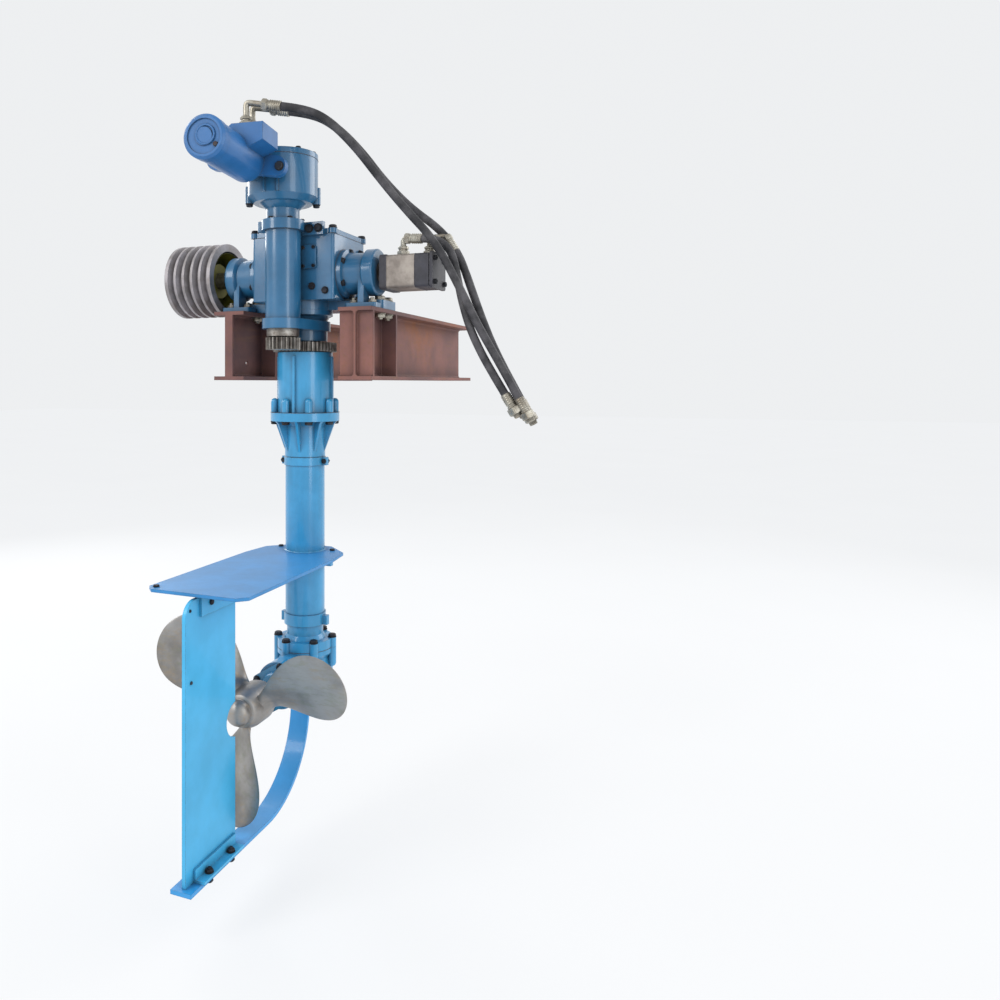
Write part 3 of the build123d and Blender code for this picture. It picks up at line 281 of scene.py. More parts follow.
def enamel(name, colour, dull, cast, worn, depth, coat, streak=0.0):
    """Brushed enamel over a casting or plate: cloudy depth, painted shade with grime in corners, chips
    along edges.

    dull is its least roughness, cast the lumpiness under it, worn how far its chips spread, depth how dark
    its clouds go, coat its varnish and streak its upright runs."""
    f = Finish(name)
    cloud = f.noise(9.0, 5.0, 0.6)
    fine = f.noise(260.0, 3.0, 0.6)
    speck = f.noise(70.0, 4.0, 0.7)
    runs = f.noise(6.0, 3.0, 0.5, f.stretched(9.0, 9.0, 0.8))
    deep = tuple((1.0 - depth) * c for c in colour)
    pale = tuple(min(1.0, 1.12 * c + 0.02) for c in colour)
    paint = f.blend(f.band(cloud, 0.32, 0.68), deep, pale)
    paint = f.blend(0.45, paint, colour)
    paint = f.tinted(paint, 1.0 + streak * (f.band(runs, 0.35, 0.65) - 0.5))
    # Painted shade with grime: the colour darkens towards a dark blue-grey in corners found by occlusion,
    # in patches by the specks, and roughens there.
    corner_shade_and_grime = (f.crevice(0.03) * (0.5 + speck)).clipped()
    paint = f.blend(0.75 * corner_shade_and_grime, paint, hue(30, 42, 52))
    chips = f.band(f.edges(0.0018) + 0.9 * speck + 0.3 * fine, 1.58 - 0.08 * worn, 1.66 - 0.08 * worn)
    bared = f.blend(f.band(fine, 0.45, 0.6), hue(74, 80, 84), hue(96, 110, 122))
    paint = f.blend(chips, paint, bared)
    rough = dull + 0.16 * cloud + 0.35 * corner_shade_and_grime + 0.3 * chips
    skin = 0.6 * f.noise(90.0 * cast, 2.0, 0.4) + 0.5 * f.noise(340.0, 2.0, 0.5) - 0.5 * chips
    normal = f.bump(skin, 0.0011, 0.16 + 0.12 * cast, 0.0022)
    return f.close(paint, rough, 0.0, normal, Coat_Weight=coat, Coat_Roughness=0.10)


def primer_steel():
    """Rolled section under matt red-brown primer, with rust bloom, rubbed edges, mill streaks and painted
    shade in corners.
    """
    f = Finish("beam_primer")
    cloud = f.noise(5.0, 6.0, 0.62)
    streaks = f.noise(14.0, 4.0, 0.6, f.stretched(6.0, 0.7, 6.0))
    grain = f.noise(420.0, 3.0, 0.65)
    stain = f.noise(2.2, 5.0, 0.66)
    primer = f.blend(f.band(cloud, 0.3, 0.7), hue(96, 66, 66), hue(134, 90, 82))
    primer = f.blend(f.band(streaks, 0.5, 0.75, 0.0, 0.55), primer, hue(120, 84, 62))
    rust = f.band(stain + 0.35 * grain, 0.72, 0.92)
    primer = f.blend(0.7 * rust, primer, hue(150, 92, 48))
    rubbed = f.band(f.edges(0.003) + 0.8 * cloud, 1.05, 1.4)
    primer = f.blend(0.8 * rubbed, primer, hue(74, 62, 60))
    # Painted shade: the primer darkens towards dark brown in corners found by occlusion.
    corner_shade_and_grime = f.crevice(0.05).clipped()
    primer = f.blend(0.6 * corner_shade_and_grime, primer, hue(52, 38, 36))
    rough = 0.58 + 0.25 * cloud + 0.1 * rust
    normal = f.bump(0.7 * grain + 0.8 * f.noise(36.0, 3.0) + 0.4 * rust, 0.0012, 0.3, 0.002)
    return f.close(primer, rough, 0.0, normal)


def bare_metal(name, light, dark, rough, grain=(1.0, 1.0, 1.0), stain=None, stain_share=0.0):
    """Machined or plated metal: grain that may run one way, handling marks, and painted shade with grime in
    corners, duller there.
    """
    f = Finish(name)
    cloud = f.noise(22.0, 5.0, 0.6)
    lines = f.noise(55.0, 4.0, 0.7, f.stretched(*grain))
    scratch = f.noise(300.0, 2.0, 0.6)
    metal = f.blend(f.band(cloud, 0.32, 0.7), dark, light)
    metal = f.tinted(metal, 0.85 + 0.3 * lines)
    if stain:
        patch = f.band(f.noise(30.0, 6.0, 0.7) + 0.3 * scratch, 0.66, 0.86)
        metal = f.blend(stain_share * patch, metal, stain)
    # Painted shade with grime: the metal darkens towards a dark brown-grey in corners found by occlusion,
    # and grows rougher and less metallic there.
    corner_shade_and_grime = f.crevice(0.012).clipped()
    metal = f.blend(0.8 * corner_shade_and_grime, metal, hue(34, 30, 28))
    shade = rough + 0.22 * cloud + 0.12 * lines + 0.3 * corner_shade_and_grime
    normal = f.bump(lines + 0.4 * scratch, 0.0004, 0.3, 0.0008)
    return f.close(metal, shade, 0.92 - 0.6 * corner_shade_and_grime, normal)


def satin_black(name, colour):
    """Satin coating, dusty in patches and rubbed grey along its edges."""
    f = Finish(name)
    cloud = f.noise(30.0, 5.0, 0.6)
    fine = f.noise(500.0, 3.0, 0.6)
    coat = f.blend(f.band(cloud, 0.35, 0.7), colour, tuple(1.6 * c + 0.006 for c in colour))
    dust = f.noise(11.0, 6.0, 0.65)
    coat = f.blend(f.band(dust, 0.5, 0.8, 0.0, 0.35), coat, hue(110, 104, 100))
    rubbed = f.band(f.edges(0.0016) + 0.7 * cloud, 1.05, 1.35)
    coat = f.blend(rubbed, coat, hue(128, 126, 130))
    rough = 0.42 + 0.22 * cloud - 0.1 * rubbed
    return f.close(coat, rough, 0.5 * rubbed, f.bump(fine + 0.6 * f.noise(120.0), 0.0005, 0.35, 0.001))


def blade_metal():
    """Ground stainless with warm heat tints, dull foundry patches and polishing swirls."""
    f = Finish("propeller_steel")
    cloud = f.noise(7.0, 5.0, 0.6)
    swirl = f.noise(26.0, 5.0, 0.7, f.stretched(1.0, 4.0, 3.0))
    tint = f.noise(4.5, 3.0, 0.5)
    scratch = f.noise(240.0, 3.0, 0.6)
    metal = f.blend(f.band(cloud, 0.32, 0.68), hue(126, 123, 120), hue(168, 166, 164))
    warm = f.node("ShaderNodeValToRGB", {"stops": [(0.40, hue(172, 166, 162)), (0.50, hue(168, 142, 104)),
                                                   (0.57, hue(126, 140, 112)), (0.66, hue(150, 120, 128))]},
                  {0: tint}, 0)
    metal = f.blend(f.band(swirl, 0.45, 0.65, 0.0, 0.30), metal, warm)
    rough = 0.30 + 0.22 * cloud + 0.08 * swirl
    return f.close(metal, rough, 0.94, f.bump(0.5 * swirl + 0.5 * scratch, 0.0004, 0.3, 0.001))


def hose_rubber():
    """Black rubber hose with a cloth-wrapped skin, dusty in patches."""
    f = Finish("hose_rubber")
    weave = f.node("ShaderNodeTexWave", {"wave_type": "BANDS", "bands_direction": "DIAGONAL"},
                   {"Vector": f.place, "Scale": 150.0, "Distortion": 2.0, "Detail": 2.0}, "Fac")
    cloud = f.noise(16.0, 5.0, 0.6)
    fine = f.noise(600.0, 3.0, 0.6)
    skin = f.blend(f.band(cloud, 0.38, 0.7), hue(30, 30, 34), hue(78, 76, 80))
    skin = f.blend(f.band(f.noise(7.0, 5.0, 0.65), 0.45, 0.7, 0.0, 0.5), skin, hue(118, 116, 118))
    rough = 0.5 + 0.25 * cloud
    return f.close(skin, rough, 0.0, f.bump(0.5 * weave + 0.4 * fine, 0.0005, 0.5))


# One blue paint in lit and shaded copies: painted shade makes the upper casings deeper, and painted light
# makes the leg, plate, fin and bar paler.
SHADED_UPPER_BLUE = hue(22, 96, 138)
MOTOR_BLUE = hue(22, 98, 160)
LIT_LEG_BLUE = hue(46, 146, 196)
LIT_PLATE_BLUE = hue(34, 126, 188)
LIT_FIN_BLUE = hue(56, 170, 220)
LIT_BAR_BLUE = hue(34, 144, 210)
OLIVE = hue(118, 114, 26)

finishes = {
    "upper": enamel("upper_blue", SHADED_UPPER_BLUE, dull=0.26, cast=1.0, worn=1.0, depth=0.34, coat=0.6),
    "motor": enamel("motor_blue", MOTOR_BLUE, dull=0.36, cast=1.2, worn=0.6, depth=0.25, coat=0.25),
    "leg": enamel("leg_blue", LIT_LEG_BLUE, dull=0.24, cast=0.8, worn=0.8, depth=0.24, coat=0.5, streak=0.08),
    "plate": enamel("plate_blue", LIT_PLATE_BLUE, dull=0.34, cast=0.5, worn=0.5, depth=0.18, coat=0.12,
                    streak=0.05),
    "fin": enamel("fin_blue", LIT_FIN_BLUE, dull=0.38, cast=0.5, worn=0.5, depth=0.10, coat=0.2),
    "bar": enamel("bar_blue", LIT_BAR_BLUE, dull=0.32, cast=0.6, worn=0.7, depth=0.12, coat=0.3),
    "primer": primer_steel(),
    "pulley": bare_metal("grey_iron", hue(176, 172, 176), hue(144, 140, 140), rough=0.46,
                         grain=(9.0, 1.0, 1.0), stain=hue(128, 114, 100), stain_share=0.3),
    "olive": enamel("olive_coat", OLIVE, dull=0.55, cast=0.8, worn=0.6, depth=0.30, coat=0.0),
    "plated": bare_metal("plated_steel", hue(196, 192, 180), hue(136, 130, 118), rough=0.24,
                         stain=hue(120, 84, 52), stain_share=0.35),
    "dark_bolt": bare_metal("dark_bolt", hue(70, 74, 80), hue(36, 38, 44), rough=0.4,
                            stain=hue(90, 62, 44), stain_share=0.3),
    "gear": bare_metal("gear_steel", hue(178, 174, 168), hue(104, 98, 92), rough=0.28,
                       grain=(1.0, 1.0, 6.0), stain=hue(72, 52, 36), stain_share=0.5),
    "bearing": bare_metal("bearing_steel", hue(190, 192, 196), hue(150, 152, 156), rough=0.2),
    "bronze": bare_metal("bronze", hue(196, 150, 84), hue(140, 100, 52), rough=0.28),
    "aluminium": bare_metal("pump_aluminium", hue(176, 168, 160), hue(132, 124, 118), rough=0.40,
                            grain=(1.0, 6.0, 1.0), stain=hue(108, 100, 92), stain_share=0.25),
    "black": satin_black("satin_black", hue(42, 42, 50)),
    "blade": blade_metal(),
    "rubber": hose_rubber(),
}

finish_of = {
    "upper": ["gearbox_housing", "gearbox_lid", "inspection_panel", "right_carrier", "left_carrier",
              "slewing_spigot", "column_arm", "column", "worm_housing", "worm_housing_lid"],
    "motor": ["steer_motor_body", "steer_motor_cap"],
    "leg": ["leg_head", "leg_bell", "tube_clamps", "leg_tube", "leg_adapter", "gearcase", "shaft_cap"],
    "plate": ["cavitation_plate"],
    "fin": ["fin", "fin_brackets"],
    "bar": ["guard_bar"],
    "primer": ["left_beam", "right_beam"],
    "pulley": ["drive_pulley"],
    "olive": ["pulley_bush"],
    "plated": ["pump_fittings", "steer_fittings", "hose_ends", "deck_bolts"],
    "dark_bolt": ["casing_bolts", "leg_bolts"],
    "gear": ["input_shaft", "input_bevel", "pump_drive_gear", "pump_idler_gear", "drive_shaft",
             "driven_bevel", "lower_bevel", "crown_bevel", "propeller_shaft", "worm", "steering_pinion",
             "steer_ring_gear", "steering_bearings"],
    "bearing": ["gearbox_bearings", "leg_bearings"],
    "bronze": ["worm_wheel", "pump_bushes"],
    "aluminium": ["pump_body"],
    "black": ["pump_adapter", "pump_cover", "pump_end"],
    "blade": ["propeller", "propeller_nut"],
    "rubber": ["pump_hose_a", "pump_hose_b", "steer_hose_a", "steer_hose_b"],
}


SHADE_ANGLE = 32.0
WELD_REACH = 1e-5


def dress_nodes():
    """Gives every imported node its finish, and smooth shading between edges over the shade angle."""
    for finish, names in finish_of.items():
        for name in names:
            node = nodes[name]
            node.data.materials.clear()
            node.data.materials.append(finishes[finish])
            node.data.polygons.foreach_set("use_smooth", np.ones(len(node.data.polygons), bool))
            weld = node.modifiers.new("weld", "WELD")
            weld.merge_threshold = WELD_REACH
            split = node.modifiers.new("split", "EDGE_SPLIT")
            split.split_angle = math.radians(SHADE_ANGLE)


# Surfaces worked out with numpy. A shell is its corner points and its faces, in millimetres

BEAD_STEP = 2.2


class Seat:
    """A place and three square directions, the last along the axis of what stands there."""

    def __init__(self, place, axis=(0.0, 0.0, 1.0), across=None):
        self.place = np.array(place, float)
        self.w = np.array(axis, float) / np.linalg.norm(axis)
        if across is None:
            across = (0, 0, 1) if abs(self.w[2]) < 0.9 else (1, 0, 0)
        side = np.array(across, float)
        side = side - self.w * (side @ self.w)
        self.u = side / np.linalg.norm(side)
        self.v = np.cross(self.w, self.u)

    def points(self, a, b, c):
        """World points of local coordinates, for arrays of any one shape."""
        a, b, c = np.broadcast_arrays(np.asarray(a, float), np.asarray(b, float), np.asarray(c, float))
        return self.place + a[..., None] * self.u + b[..., None] * self.v + c[..., None] * self.w

    def moved(self, a, b, c):
        """Same directions at another local place."""
        return Seat(self.points(a, b, c), self.w, self.u)


def quads_between(*corners):
    """Quads whose four corners are numbered by four equal arrays."""
    return [tuple(quad) for quad in np.stack(corners, axis=-1).reshape(-1, 4).tolist()]


def grid_shell(points):
    """Closed shell of a grid whose rows are loops: rows joined by quads, each end closed at its centre."""
    rows, cols = points.shape[:2]
    index = np.arange(rows * cols).reshape(rows, cols)
    after = np.roll(index, -1, axis=1)
    faces = quads_between(index[:-1], after[:-1], after[1:], index[1:])
    ends = np.array([points[0].mean(axis=0), points[-1].mean(axis=0)])
    first, last = rows * cols, rows * cols + 1
    fan_a = np.stack([np.full(cols, first), after[0], index[0]], axis=-1)
    fan_b = np.stack([np.full(cols, last), index[-1], after[-1]], axis=-1)
    faces += [tuple(t) for t in fan_a.tolist() + fan_b.tolist()]
    return np.concatenate([points.reshape(-1, 3), ends]), faces


def loop_shell(points):
    """Closed shell of a grid that is joined to itself both ways, as a ring is."""
    rows, cols = points.shape[:2]
    index = np.arange(rows * cols).reshape(rows, cols)
    down, along = np.roll(index, -1, axis=0), np.roll(index, -1, axis=1)
    both = np.roll(down, -1, axis=1)
    return points.reshape(-1, 3), quads_between(index, along, both, down)


def lathe(seat, profile, segments=48, across=None):
    """Profile of (radius, height) turned about the seat's axis.

    across, if given, cuts it to a hexagon of that width over its flats."""
    radius, height = np.array(profile, float).T
    angle = 2 * np.pi * np.arange(segments) / segments
    if across:
        flat = (across / 2) / np.cos((angle + np.pi / 6) % (np.pi / 3) - np.pi / 6)
        reach = np.minimum(radius[:, None], flat[None, :])
    else:
        reach = np.repeat(radius[:, None], segments, axis=1)
    return grid_shell(seat.points(reach * np.cos(angle), reach * np.sin(angle), height[:, None]))


def tube_ring(seat, outer, inner, low, high, soft):
    """Ring with softened corners: its closed section turned once round the seat's axis."""
    section = [(inner, low + soft), (inner + soft, low), (outer - soft, low), (outer, low + soft),
               (outer, high - soft), (outer - soft, high), (inner + soft, high), (inner, high - soft)]
    return ring_of(seat, section)


def ring_of(seat, section, segments=48):
    """Closed section of (radius, height) turned once round the seat's axis, joined to itself."""
    radius, height = np.array(section, float).T
    angle = 2 * np.pi * np.arange(segments) / segments
    x, y = radius[:, None] * np.cos(angle), radius[:, None] * np.sin(angle)
    return loop_shell(seat.points(x, y, height[:, None]))


def carried(path, radius, sides=16, closed=False):
    """Round section carried along a path, its frame turned as little as possible from point to point.

    radius is one number, or one for each point."""
    path = np.array(path, float)
    ahead = np.roll(path, -1, axis=0) - path
    behind = path - np.roll(path, 1, axis=0)
    if not closed:
        ahead[-1], behind[0] = behind[-1], ahead[0]
    ahead /= np.linalg.norm(ahead, axis=1)[:, None]
    behind /= np.linalg.norm(behind, axis=1)[:, None]
    along = ahead + behind
    along /= np.linalg.norm(along, axis=1)[:, None]
    start = np.cross(along[0], (0, 0, 1.0) if abs(along[0][2]) < 0.9 else (1.0, 0, 0))
    firsts = [start / np.linalg.norm(start)]
    for step in along[1:]:
        first = firsts[-1] - step * (firsts[-1] @ step)
        firsts.append(first / np.linalg.norm(first))
    u = np.array(firsts)
    v = np.cross(along, u)
    size = np.broadcast_to(np.asarray(radius, float), (len(path),))[:, None, None]
    angle = 2 * np.pi * np.arange(sides) / sides
    circle = np.cos(angle)[:, None] * u[:, None] + np.sin(angle)[:, None] * v[:, None]
    points = path[:, None] + size * circle
    return loop_shell(points) if closed else grid_shell(points)


def rounded(corners, bend, steps=6):
    """Path through corner points, each cut by a smooth quadratic bend that starts so far from it."""
    corners = np.array(corners, float)
    path = [corners[0]]
    for a, b, c in zip(corners, corners[1:], corners[2:]):
        before, after = (a - b) / np.linalg.norm(a - b), (c - b) / np.linalg.norm(c - b)
        for t in np.linspace(0.0, 1.0, steps):
            path.append(b + bend * (before * (1 - t) ** 2 + after * t ** 2))
    return np.array(path + [corners[-1]])


def weld_bead(path, size, closed=False):
    """Fillet weld: a round bead along a path, its size rippling as each drop of metal froze."""
    path = np.array(path, float)
    ends = np.roll(path, -1, axis=0)
    points = []
    for start, end in list(zip(path, ends))[:len(path) if closed else -1]:
        parts = max(1, int(round(np.linalg.norm(end - start) / BEAD_STEP)))
        points.append(start + np.arange(parts)[:, None] / parts * (end - start))
    line = np.concatenate(points + ([] if closed else [path[-1:]]))
    s = np.arange(len(line))
    ripple = 1.0 + 0.10 * np.sin(2.1 * s) + 0.05 * np.sin(0.37 * s + 1.0)
    return carried(line, size * ripple, 10, closed=closed)


def make_piece(name, shells, finish, body, replaced=(), sharp=34.0):
    """One mesh piece from closed shells in millimetres, each turned outwards by its signed volume.

    Its edges look sharp where they bend by more than sharp degrees."""
    corners, faces, offset = [], [], 0
    for points, loops in shells:
        triangles = np.array([(f[0], f[k], f[k + 1]) for f in loops for k in range(1, len(f) - 1)])
        a, b, c = points[triangles[:, 0]], points[triangles[:, 1]], points[triangles[:, 2]]
        if np.einsum("ij,ij->i", a - points.mean(axis=0), np.cross(b - a, c - a)).sum() < 0:
            loops = [f[::-1] for f in loops]
        corners.append(points)
        faces += [tuple(k + offset for k in f) for f in loops]
        offset += len(points)
    mesh = bpy.data.meshes.new(name)
    mesh.from_pydata((MM * np.concatenate(corners)).tolist(), [], faces)
    mesh.polygons.foreach_set("use_smooth", np.ones(len(mesh.polygons), bool))
    mesh.set_sharp_from_angle(angle=math.radians(sharp))
    piece = bpy.data.objects.new(name, mesh)
    bpy.context.scene.collection.objects.link(piece)
    mesh.materials.append(finishes[finish])
    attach(piece, body)
    if replaced:
        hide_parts(*replaced)
    return piece


# Fasteners

def bolt_head(seat, size, washer=True, stud=0.0):
    """Hexagon head with a turned chamfer on a washer; stud adds a thread end that stands out of a nut."""
    across, tall = 1.6 * size, 0.62 * size
    rise = 0.18 * size if washer else 0.0
    shells = []
    if washer:
        rim = 1.04 * size
        ring = [(0.98 * size, 0), (rim, 0.03 * size), (rim, rise), (0.5 * size, rise)]
        shells.append(lathe(seat, ring, 24))
    corner = across / 2 / math.cos(math.pi / 6)
    head = [(corner * 0.93, rise), (corner, rise + 0.06 * size), (corner, rise + tall - 0.12 * size),
            (across / 2 * 0.93, rise + tall), (across / 4, rise + tall)]
    shells.append(lathe(seat, head, 24, across))
    if stud:
        top = rise + tall + stud
        thread = [(size / 2, rise), (size / 2, top - 0.1 * size), (0.4 * size, top)]
        shells.append(lathe(seat, thread, 16))
    return shells


def cap_screw(seat, size):
    """Socket head screw: a drum with a round pit."""
    outer, tall, pit = 0.78 * size, 0.9 * size, 0.42 * size
    drum = [(outer, 0), (outer, tall - 0.1 * size), (outer - 0.1 * size, tall), (pit + 0.05 * size, tall)]
    return lathe(seat, drum + [(pit, tall - 0.04 * size), (pit * 0.95, tall - 0.5 * size)], 24)


def circle_of(radius, count, start=0.0):
    """Pairs evenly spaced on a circle, from an angle in degrees."""
    turn = np.radians(start + 360.0 * np.arange(count) / count)
    return list(zip(radius * np.cos(turn), radius * np.sin(turn)))


# Hoses: control points from the fitting to the free end in millimetres

hose_routes = {
    "pump_hose_a": [(366, -12, 386), (394, -12, 384), (424, -12, 372), (446, -12, 348), (458, -12, 316),
                    (466, -12, 272), (480, -12, 204), (502, -13, 134), (533, -13, 68), (568, -13, 8),
                    (596, -13, -38)],
    "pump_hose_b": [(451, 15, 350), (468, 15, 322), (484, 15, 283), (504, 14, 226), (528, 14, 160),
                    (556, 14, 92), (588, 14, 28), (620, 13, -30), (634, 13, -56)],
    "steer_hose_a": [(101, -324, 686), (160, -308, 677), (208, -272, 654), (252, -205, 600),
                     (292, -148, 532), (345, -94, 455), (418, -50, 367), (480, -34, 242),
                     (525, -20, 143), (585, -14, 38), (632, -13, -48)],
    "steer_hose_b": [(102, -282, 686), (160, -266, 677), (206, -228, 652), (248, -158, 600),
                     (286, -100, 534), (336, -30, 470), (402, 42, 416), (454, 50, 344),
                     (484, 47, 256), (524, 43, 150), (572, 39, 44), (616, 37, -44)],
}
HOSE_RADIUS = 11.0


def smooth_hose(name, points):
    """Round curve along one smooth spline whose control points are the route's."""
    data = bpy.data.curves.new(name + "_cord", "CURVE")
    data.dimensions = "3D"
    spline = data.splines.new("NURBS")
    spline.points.add(len(points) - 1)
    for point, place in zip(spline.points, points):
        point.co = (*[MM * v for v in place], 1.0)
    spline.order_u = 3
    spline.use_endpoint_u = True
    data.resolution_u = 16
    data.bevel_depth = MM * HOSE_RADIUS
    data.bevel_resolution = 6
    data.use_fill_caps = True
    hose = bpy.data.objects.new(name + "_cord", data)
    bpy.context.scene.collection.objects.link(hose)
    hose.data.materials.append(finishes["rubber"])
    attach(hose, "frame")
    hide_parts(name)
    return hose


# Hose couplings and port fittings

FERRULE = 40.0


def crimped(seat, length):
    """Hose ferrule: a sleeve pressed into soft rings, with a collar at its nut end."""
    height = np.linspace(0.0, 0.72 * length, 40)
    ripple = 13.4 + 0.6 * np.cos(2 * np.pi * height / 5.6)
    ripple[0] = 12.4
    body = list(zip(ripple, height))
    collar = [(12.0, 0.76 * length), (12.0, 0.86 * length), (13.6, 0.88 * length),
              (13.6, 0.98 * length), (12.8, length)]
    return lathe(seat, body + collar, 40)


def swivel(seat, across, length):
    """Swivel nut: a hexagon with turned chamfers at both ends and a rolled neck."""
    corner = across / 2 / math.cos(math.pi / 6)
    neck = [(across * 0.40, -2.0), (across * 0.42, 0.0)]
    nut = [(across * 0.46, 0.0), (corner, 1.6), (corner, length - 2.4), (across * 0.47, length)]
    return lathe(seat, neck + nut, 48, across)


def hose_coupling(name, points):
    """Ferrule, swivel nut and cone seat at a hose's free end, in line with its last run."""
    last, before = np.array(points[-1], float), np.array(points[-2], float)
    seat = Seat(last, last - before)
    tip = seat.moved(0, 0, FERRULE + 20)
    thread = [(10.8 + 0.25 * (-1) ** k, 0.7 * k) for k in range(12)]
    shells = [crimped(seat, FERRULE), swivel(seat.moved(0, 0, FERRULE), 33.0, 20.0),
              lathe(tip, thread + [(9.6, 9.6), (6.0, 10.0), (5.6, 2.0)], 32)]
    return make_piece(name + "_coupling", shells, "plated", "frame", ["hose_ends"])


PIPE_BEND = 11.0
PIPE_RADIUS = 7.8
pipe_corners = {
    "pump_hose_a": [(311, -12, 389.9)],
    "pump_hose_b": [(378, 15, 392), (425, 15, 392)],
    "steer_hose_a": [(13, -347, 700)],
    "steer_hose_b": [(8, -308, 700)],
}
pipe_bases = {"pump": 344.0, "steer": 640.0}


def port_fitting(name, points):
    """Adaptor on its port, washer, locknut, bent steel pipe, nut and the ferrule that meets the hose."""
    side = name.split("_")[0]
    start, following = np.array(points[0], float), np.array(points[1], float)
    back = Seat(start, start - following)
    corners = np.array(pipe_corners[name], float)
    foot = np.array([corners[0][0], corners[0][1], pipe_bases[side]])
    socket = back.points(0, 0, FERRULE)
    path = rounded([foot + (0, 0, 6), *corners, socket], PIPE_BEND, 9)
    base = Seat(foot)
    washer = [(11.5, 0), (12.5, 0.6), (12.5, 3.4), (11.5, 4.0), (8, 4)]
    shells = [crimped(back, FERRULE), swivel(back.moved(0, 0, FERRULE - 4), 27.0, 14.0),
              carried(path, PIPE_RADIUS, 24), swivel(base, 30.0, 12.0),
              lathe(base.moved(0, 0, 11), washer, 40), swivel(base.moved(0, 0, 15), 26.0, 9.0)]
    return make_piece(name + "_fitting", shells, "plated", "frame", [side + "_fittings"])


# Propeller

PROP_Z = -838.0
PROP_Y = -303.0
HUB_RADIUS = 52.0
HUB_HALF = 52.0
SHAFT_RADIUS = 20.0
TIP_RADIUS = 300.0
BLADE_CHORD = 196.0
BLADE_PITCH = 500.0
BLADE_RAKE = 50.0
BLADE_THICKNESS = 13.0
WIDEST = 0.68
PROP_PHASE = 21.5
BLADE_EDGE = 50.0
prop_seat = Seat((0.0, PROP_Y, PROP_Z), (0.0, -1.0, 0.0), (1.0, 0.0, 0.0))


def propeller_blade(turn, rows=72, cols=56):
    """One blade, its sections standing on circles round the shaft from the root to the tip.

    At the share s of the tip's radius the chord swells as a sine and then closes as an ellipse. Round each
    section, t carries a point along the chord as its cosine, and the thickness goes as its sine."""
    s = 0.13 + 0.87 * np.sin(np.linspace(0.0, np.pi / 2, rows)) ** 1.15
    radius = s * TIP_RADIUS
    swell = BLADE_CHORD * (0.30 + 0.70 * np.sin(np.pi / 2 * (s - 0.1) / 0.58) ** 1.35)
    close = BLADE_CHORD * np.sqrt(np.clip(1 - ((s - WIDEST) / 0.322) ** 2, 0.0, 1.0))
    chord = np.where(s < WIDEST, swell, close)
    root = np.clip((0.27 - s) / 0.14, 0.0, 1.0) ** 2
    thick = BLADE_THICKNESS * (1.15 - 0.95 * s) * (1.0 + 2.2 * root)
    chord = chord * (1.0 + 0.10 * root)
    pitch = np.arctan(BLADE_PITCH / (2 * np.pi * radius))
    t = 2 * np.pi * np.arange(cols) / cols
    along = 0.5 * chord[:, None] * np.cos(t)
    lens = np.sin(t) * np.abs(np.sin(t)) ** 0.25
    camber = 0.30 * thick[:, None] * np.sin(t) ** 2
    up = 0.55 * thick[:, None] * lens + camber
    tangential = along * np.cos(pitch)[:, None] - up * np.sin(pitch)[:, None]
    rake = BLADE_RAKE * (s - 0.2)
    axial = along * np.sin(pitch)[:, None] + up * np.cos(pitch)[:, None] + rake[:, None]
    a = math.radians(turn)
    reach = np.repeat(radius[:, None], cols, axis=1)
    return grid_shell(prop_seat.points(reach * math.cos(a) - tangential * math.sin(a),
                                       reach * math.sin(a) + tangential * math.cos(a), axial))


def propeller_pieces():
    """Hub with three blades, and the domed nut."""
    inner = SHAFT_RADIUS + 0.05
    r = HUB_RADIUS
    hub = [(inner, -HUB_HALF), (r - 8, -HUB_HALF), (r - 6, -HUB_HALF + 1.5), (r - 1.5, -HUB_HALF + 14),
           (r, -HUB_HALF + 20), (r, HUB_HALF - 36), (r - 1, HUB_HALF - 28), (r - 10, HUB_HALF - 3),
           (r - 13, HUB_HALF), (inner, HUB_HALF)]
    shells = [ring_of(prop_seat, hub, 72)]
    shells += [propeller_blade(PROP_PHASE + turn) for turn in (0.0, 120.0, 240.0)]
    make_piece("propeller_casting", shells, "blade", "propeller_line", ["propeller"],
               BLADE_EDGE)
    seat = prop_seat.moved(0, 0, HUB_HALF)
    angle = np.linspace(0.0, np.pi / 2, 18)
    dome = [(33.0 * math.cos(a), 10.0 + 23.0 * math.sin(a)) for a in angle[:-1]]
    groove = [(32.0, 0.0), (33.0, 0.8), (33.0, 3.0), (31.8, 3.6), (31.8, 5.2), (33.0, 5.8)]
    nut = lathe(seat, groove + dome + [(1.5, 33.0)], 64)
    make_piece("propeller_dome_nut", [nut], "blade", "propeller_line", ["propeller_nut"])


# Small pieces: where the faces they stand on are, and where they stand on them

UP, DOWN = (0.0, 0.0, 1.0), (0.0, 0.0, -1.0)
AFT, FORE = (0.0, -1.0, 0.0), (0.0, 1.0, 0.0)
RIGHT, LEFT = (1.0, 0.0, 0.0), (-1.0, 0.0, 0.0)
BOTH = (-1.0, 1.0)
DECK_BOLT = 16.0
FLANGE_BOLT = 12.0
SMALL_BOLT = 10.0
LIGHT_BOLT = 8.0
DECK_TOP, FLANGE_UNDER = 225.0, 189.0
DECK_COLUMNS, DECK_ROWS = (-230.0, -170.0, 170.0, 230.0), (15.0, 72.0)
FOOT_TOP = 214.0
FOOT_COLUMNS, FOOT_ROW = (-228.0, -172.0, 172.0, 228.0), -36.0
BOX_RIM, LID_TOP = 408.0, 422.0
BOX_Y, BOX_WIDE, BOX_DEEP, BOX_CORNER = 27.5, 260.2, 215.2, 9.0
LID_COLUMNS, LID_ROWS = (-124.0, 124.0), (-72.0, 127.0)
BRACKET_FACE, BRACKET_COLUMNS = -94.0, (62.0, 90.0)
motor_seat = Seat((-51.0, -139.2, 570.0), (0.139, -0.990, 0.0), (0.990, 0.139, 0.0))
MOTOR_ROLL = math.radians(9.0)
MOTOR_LUG, MOTOR_FLANGE = 96.0, 140.0
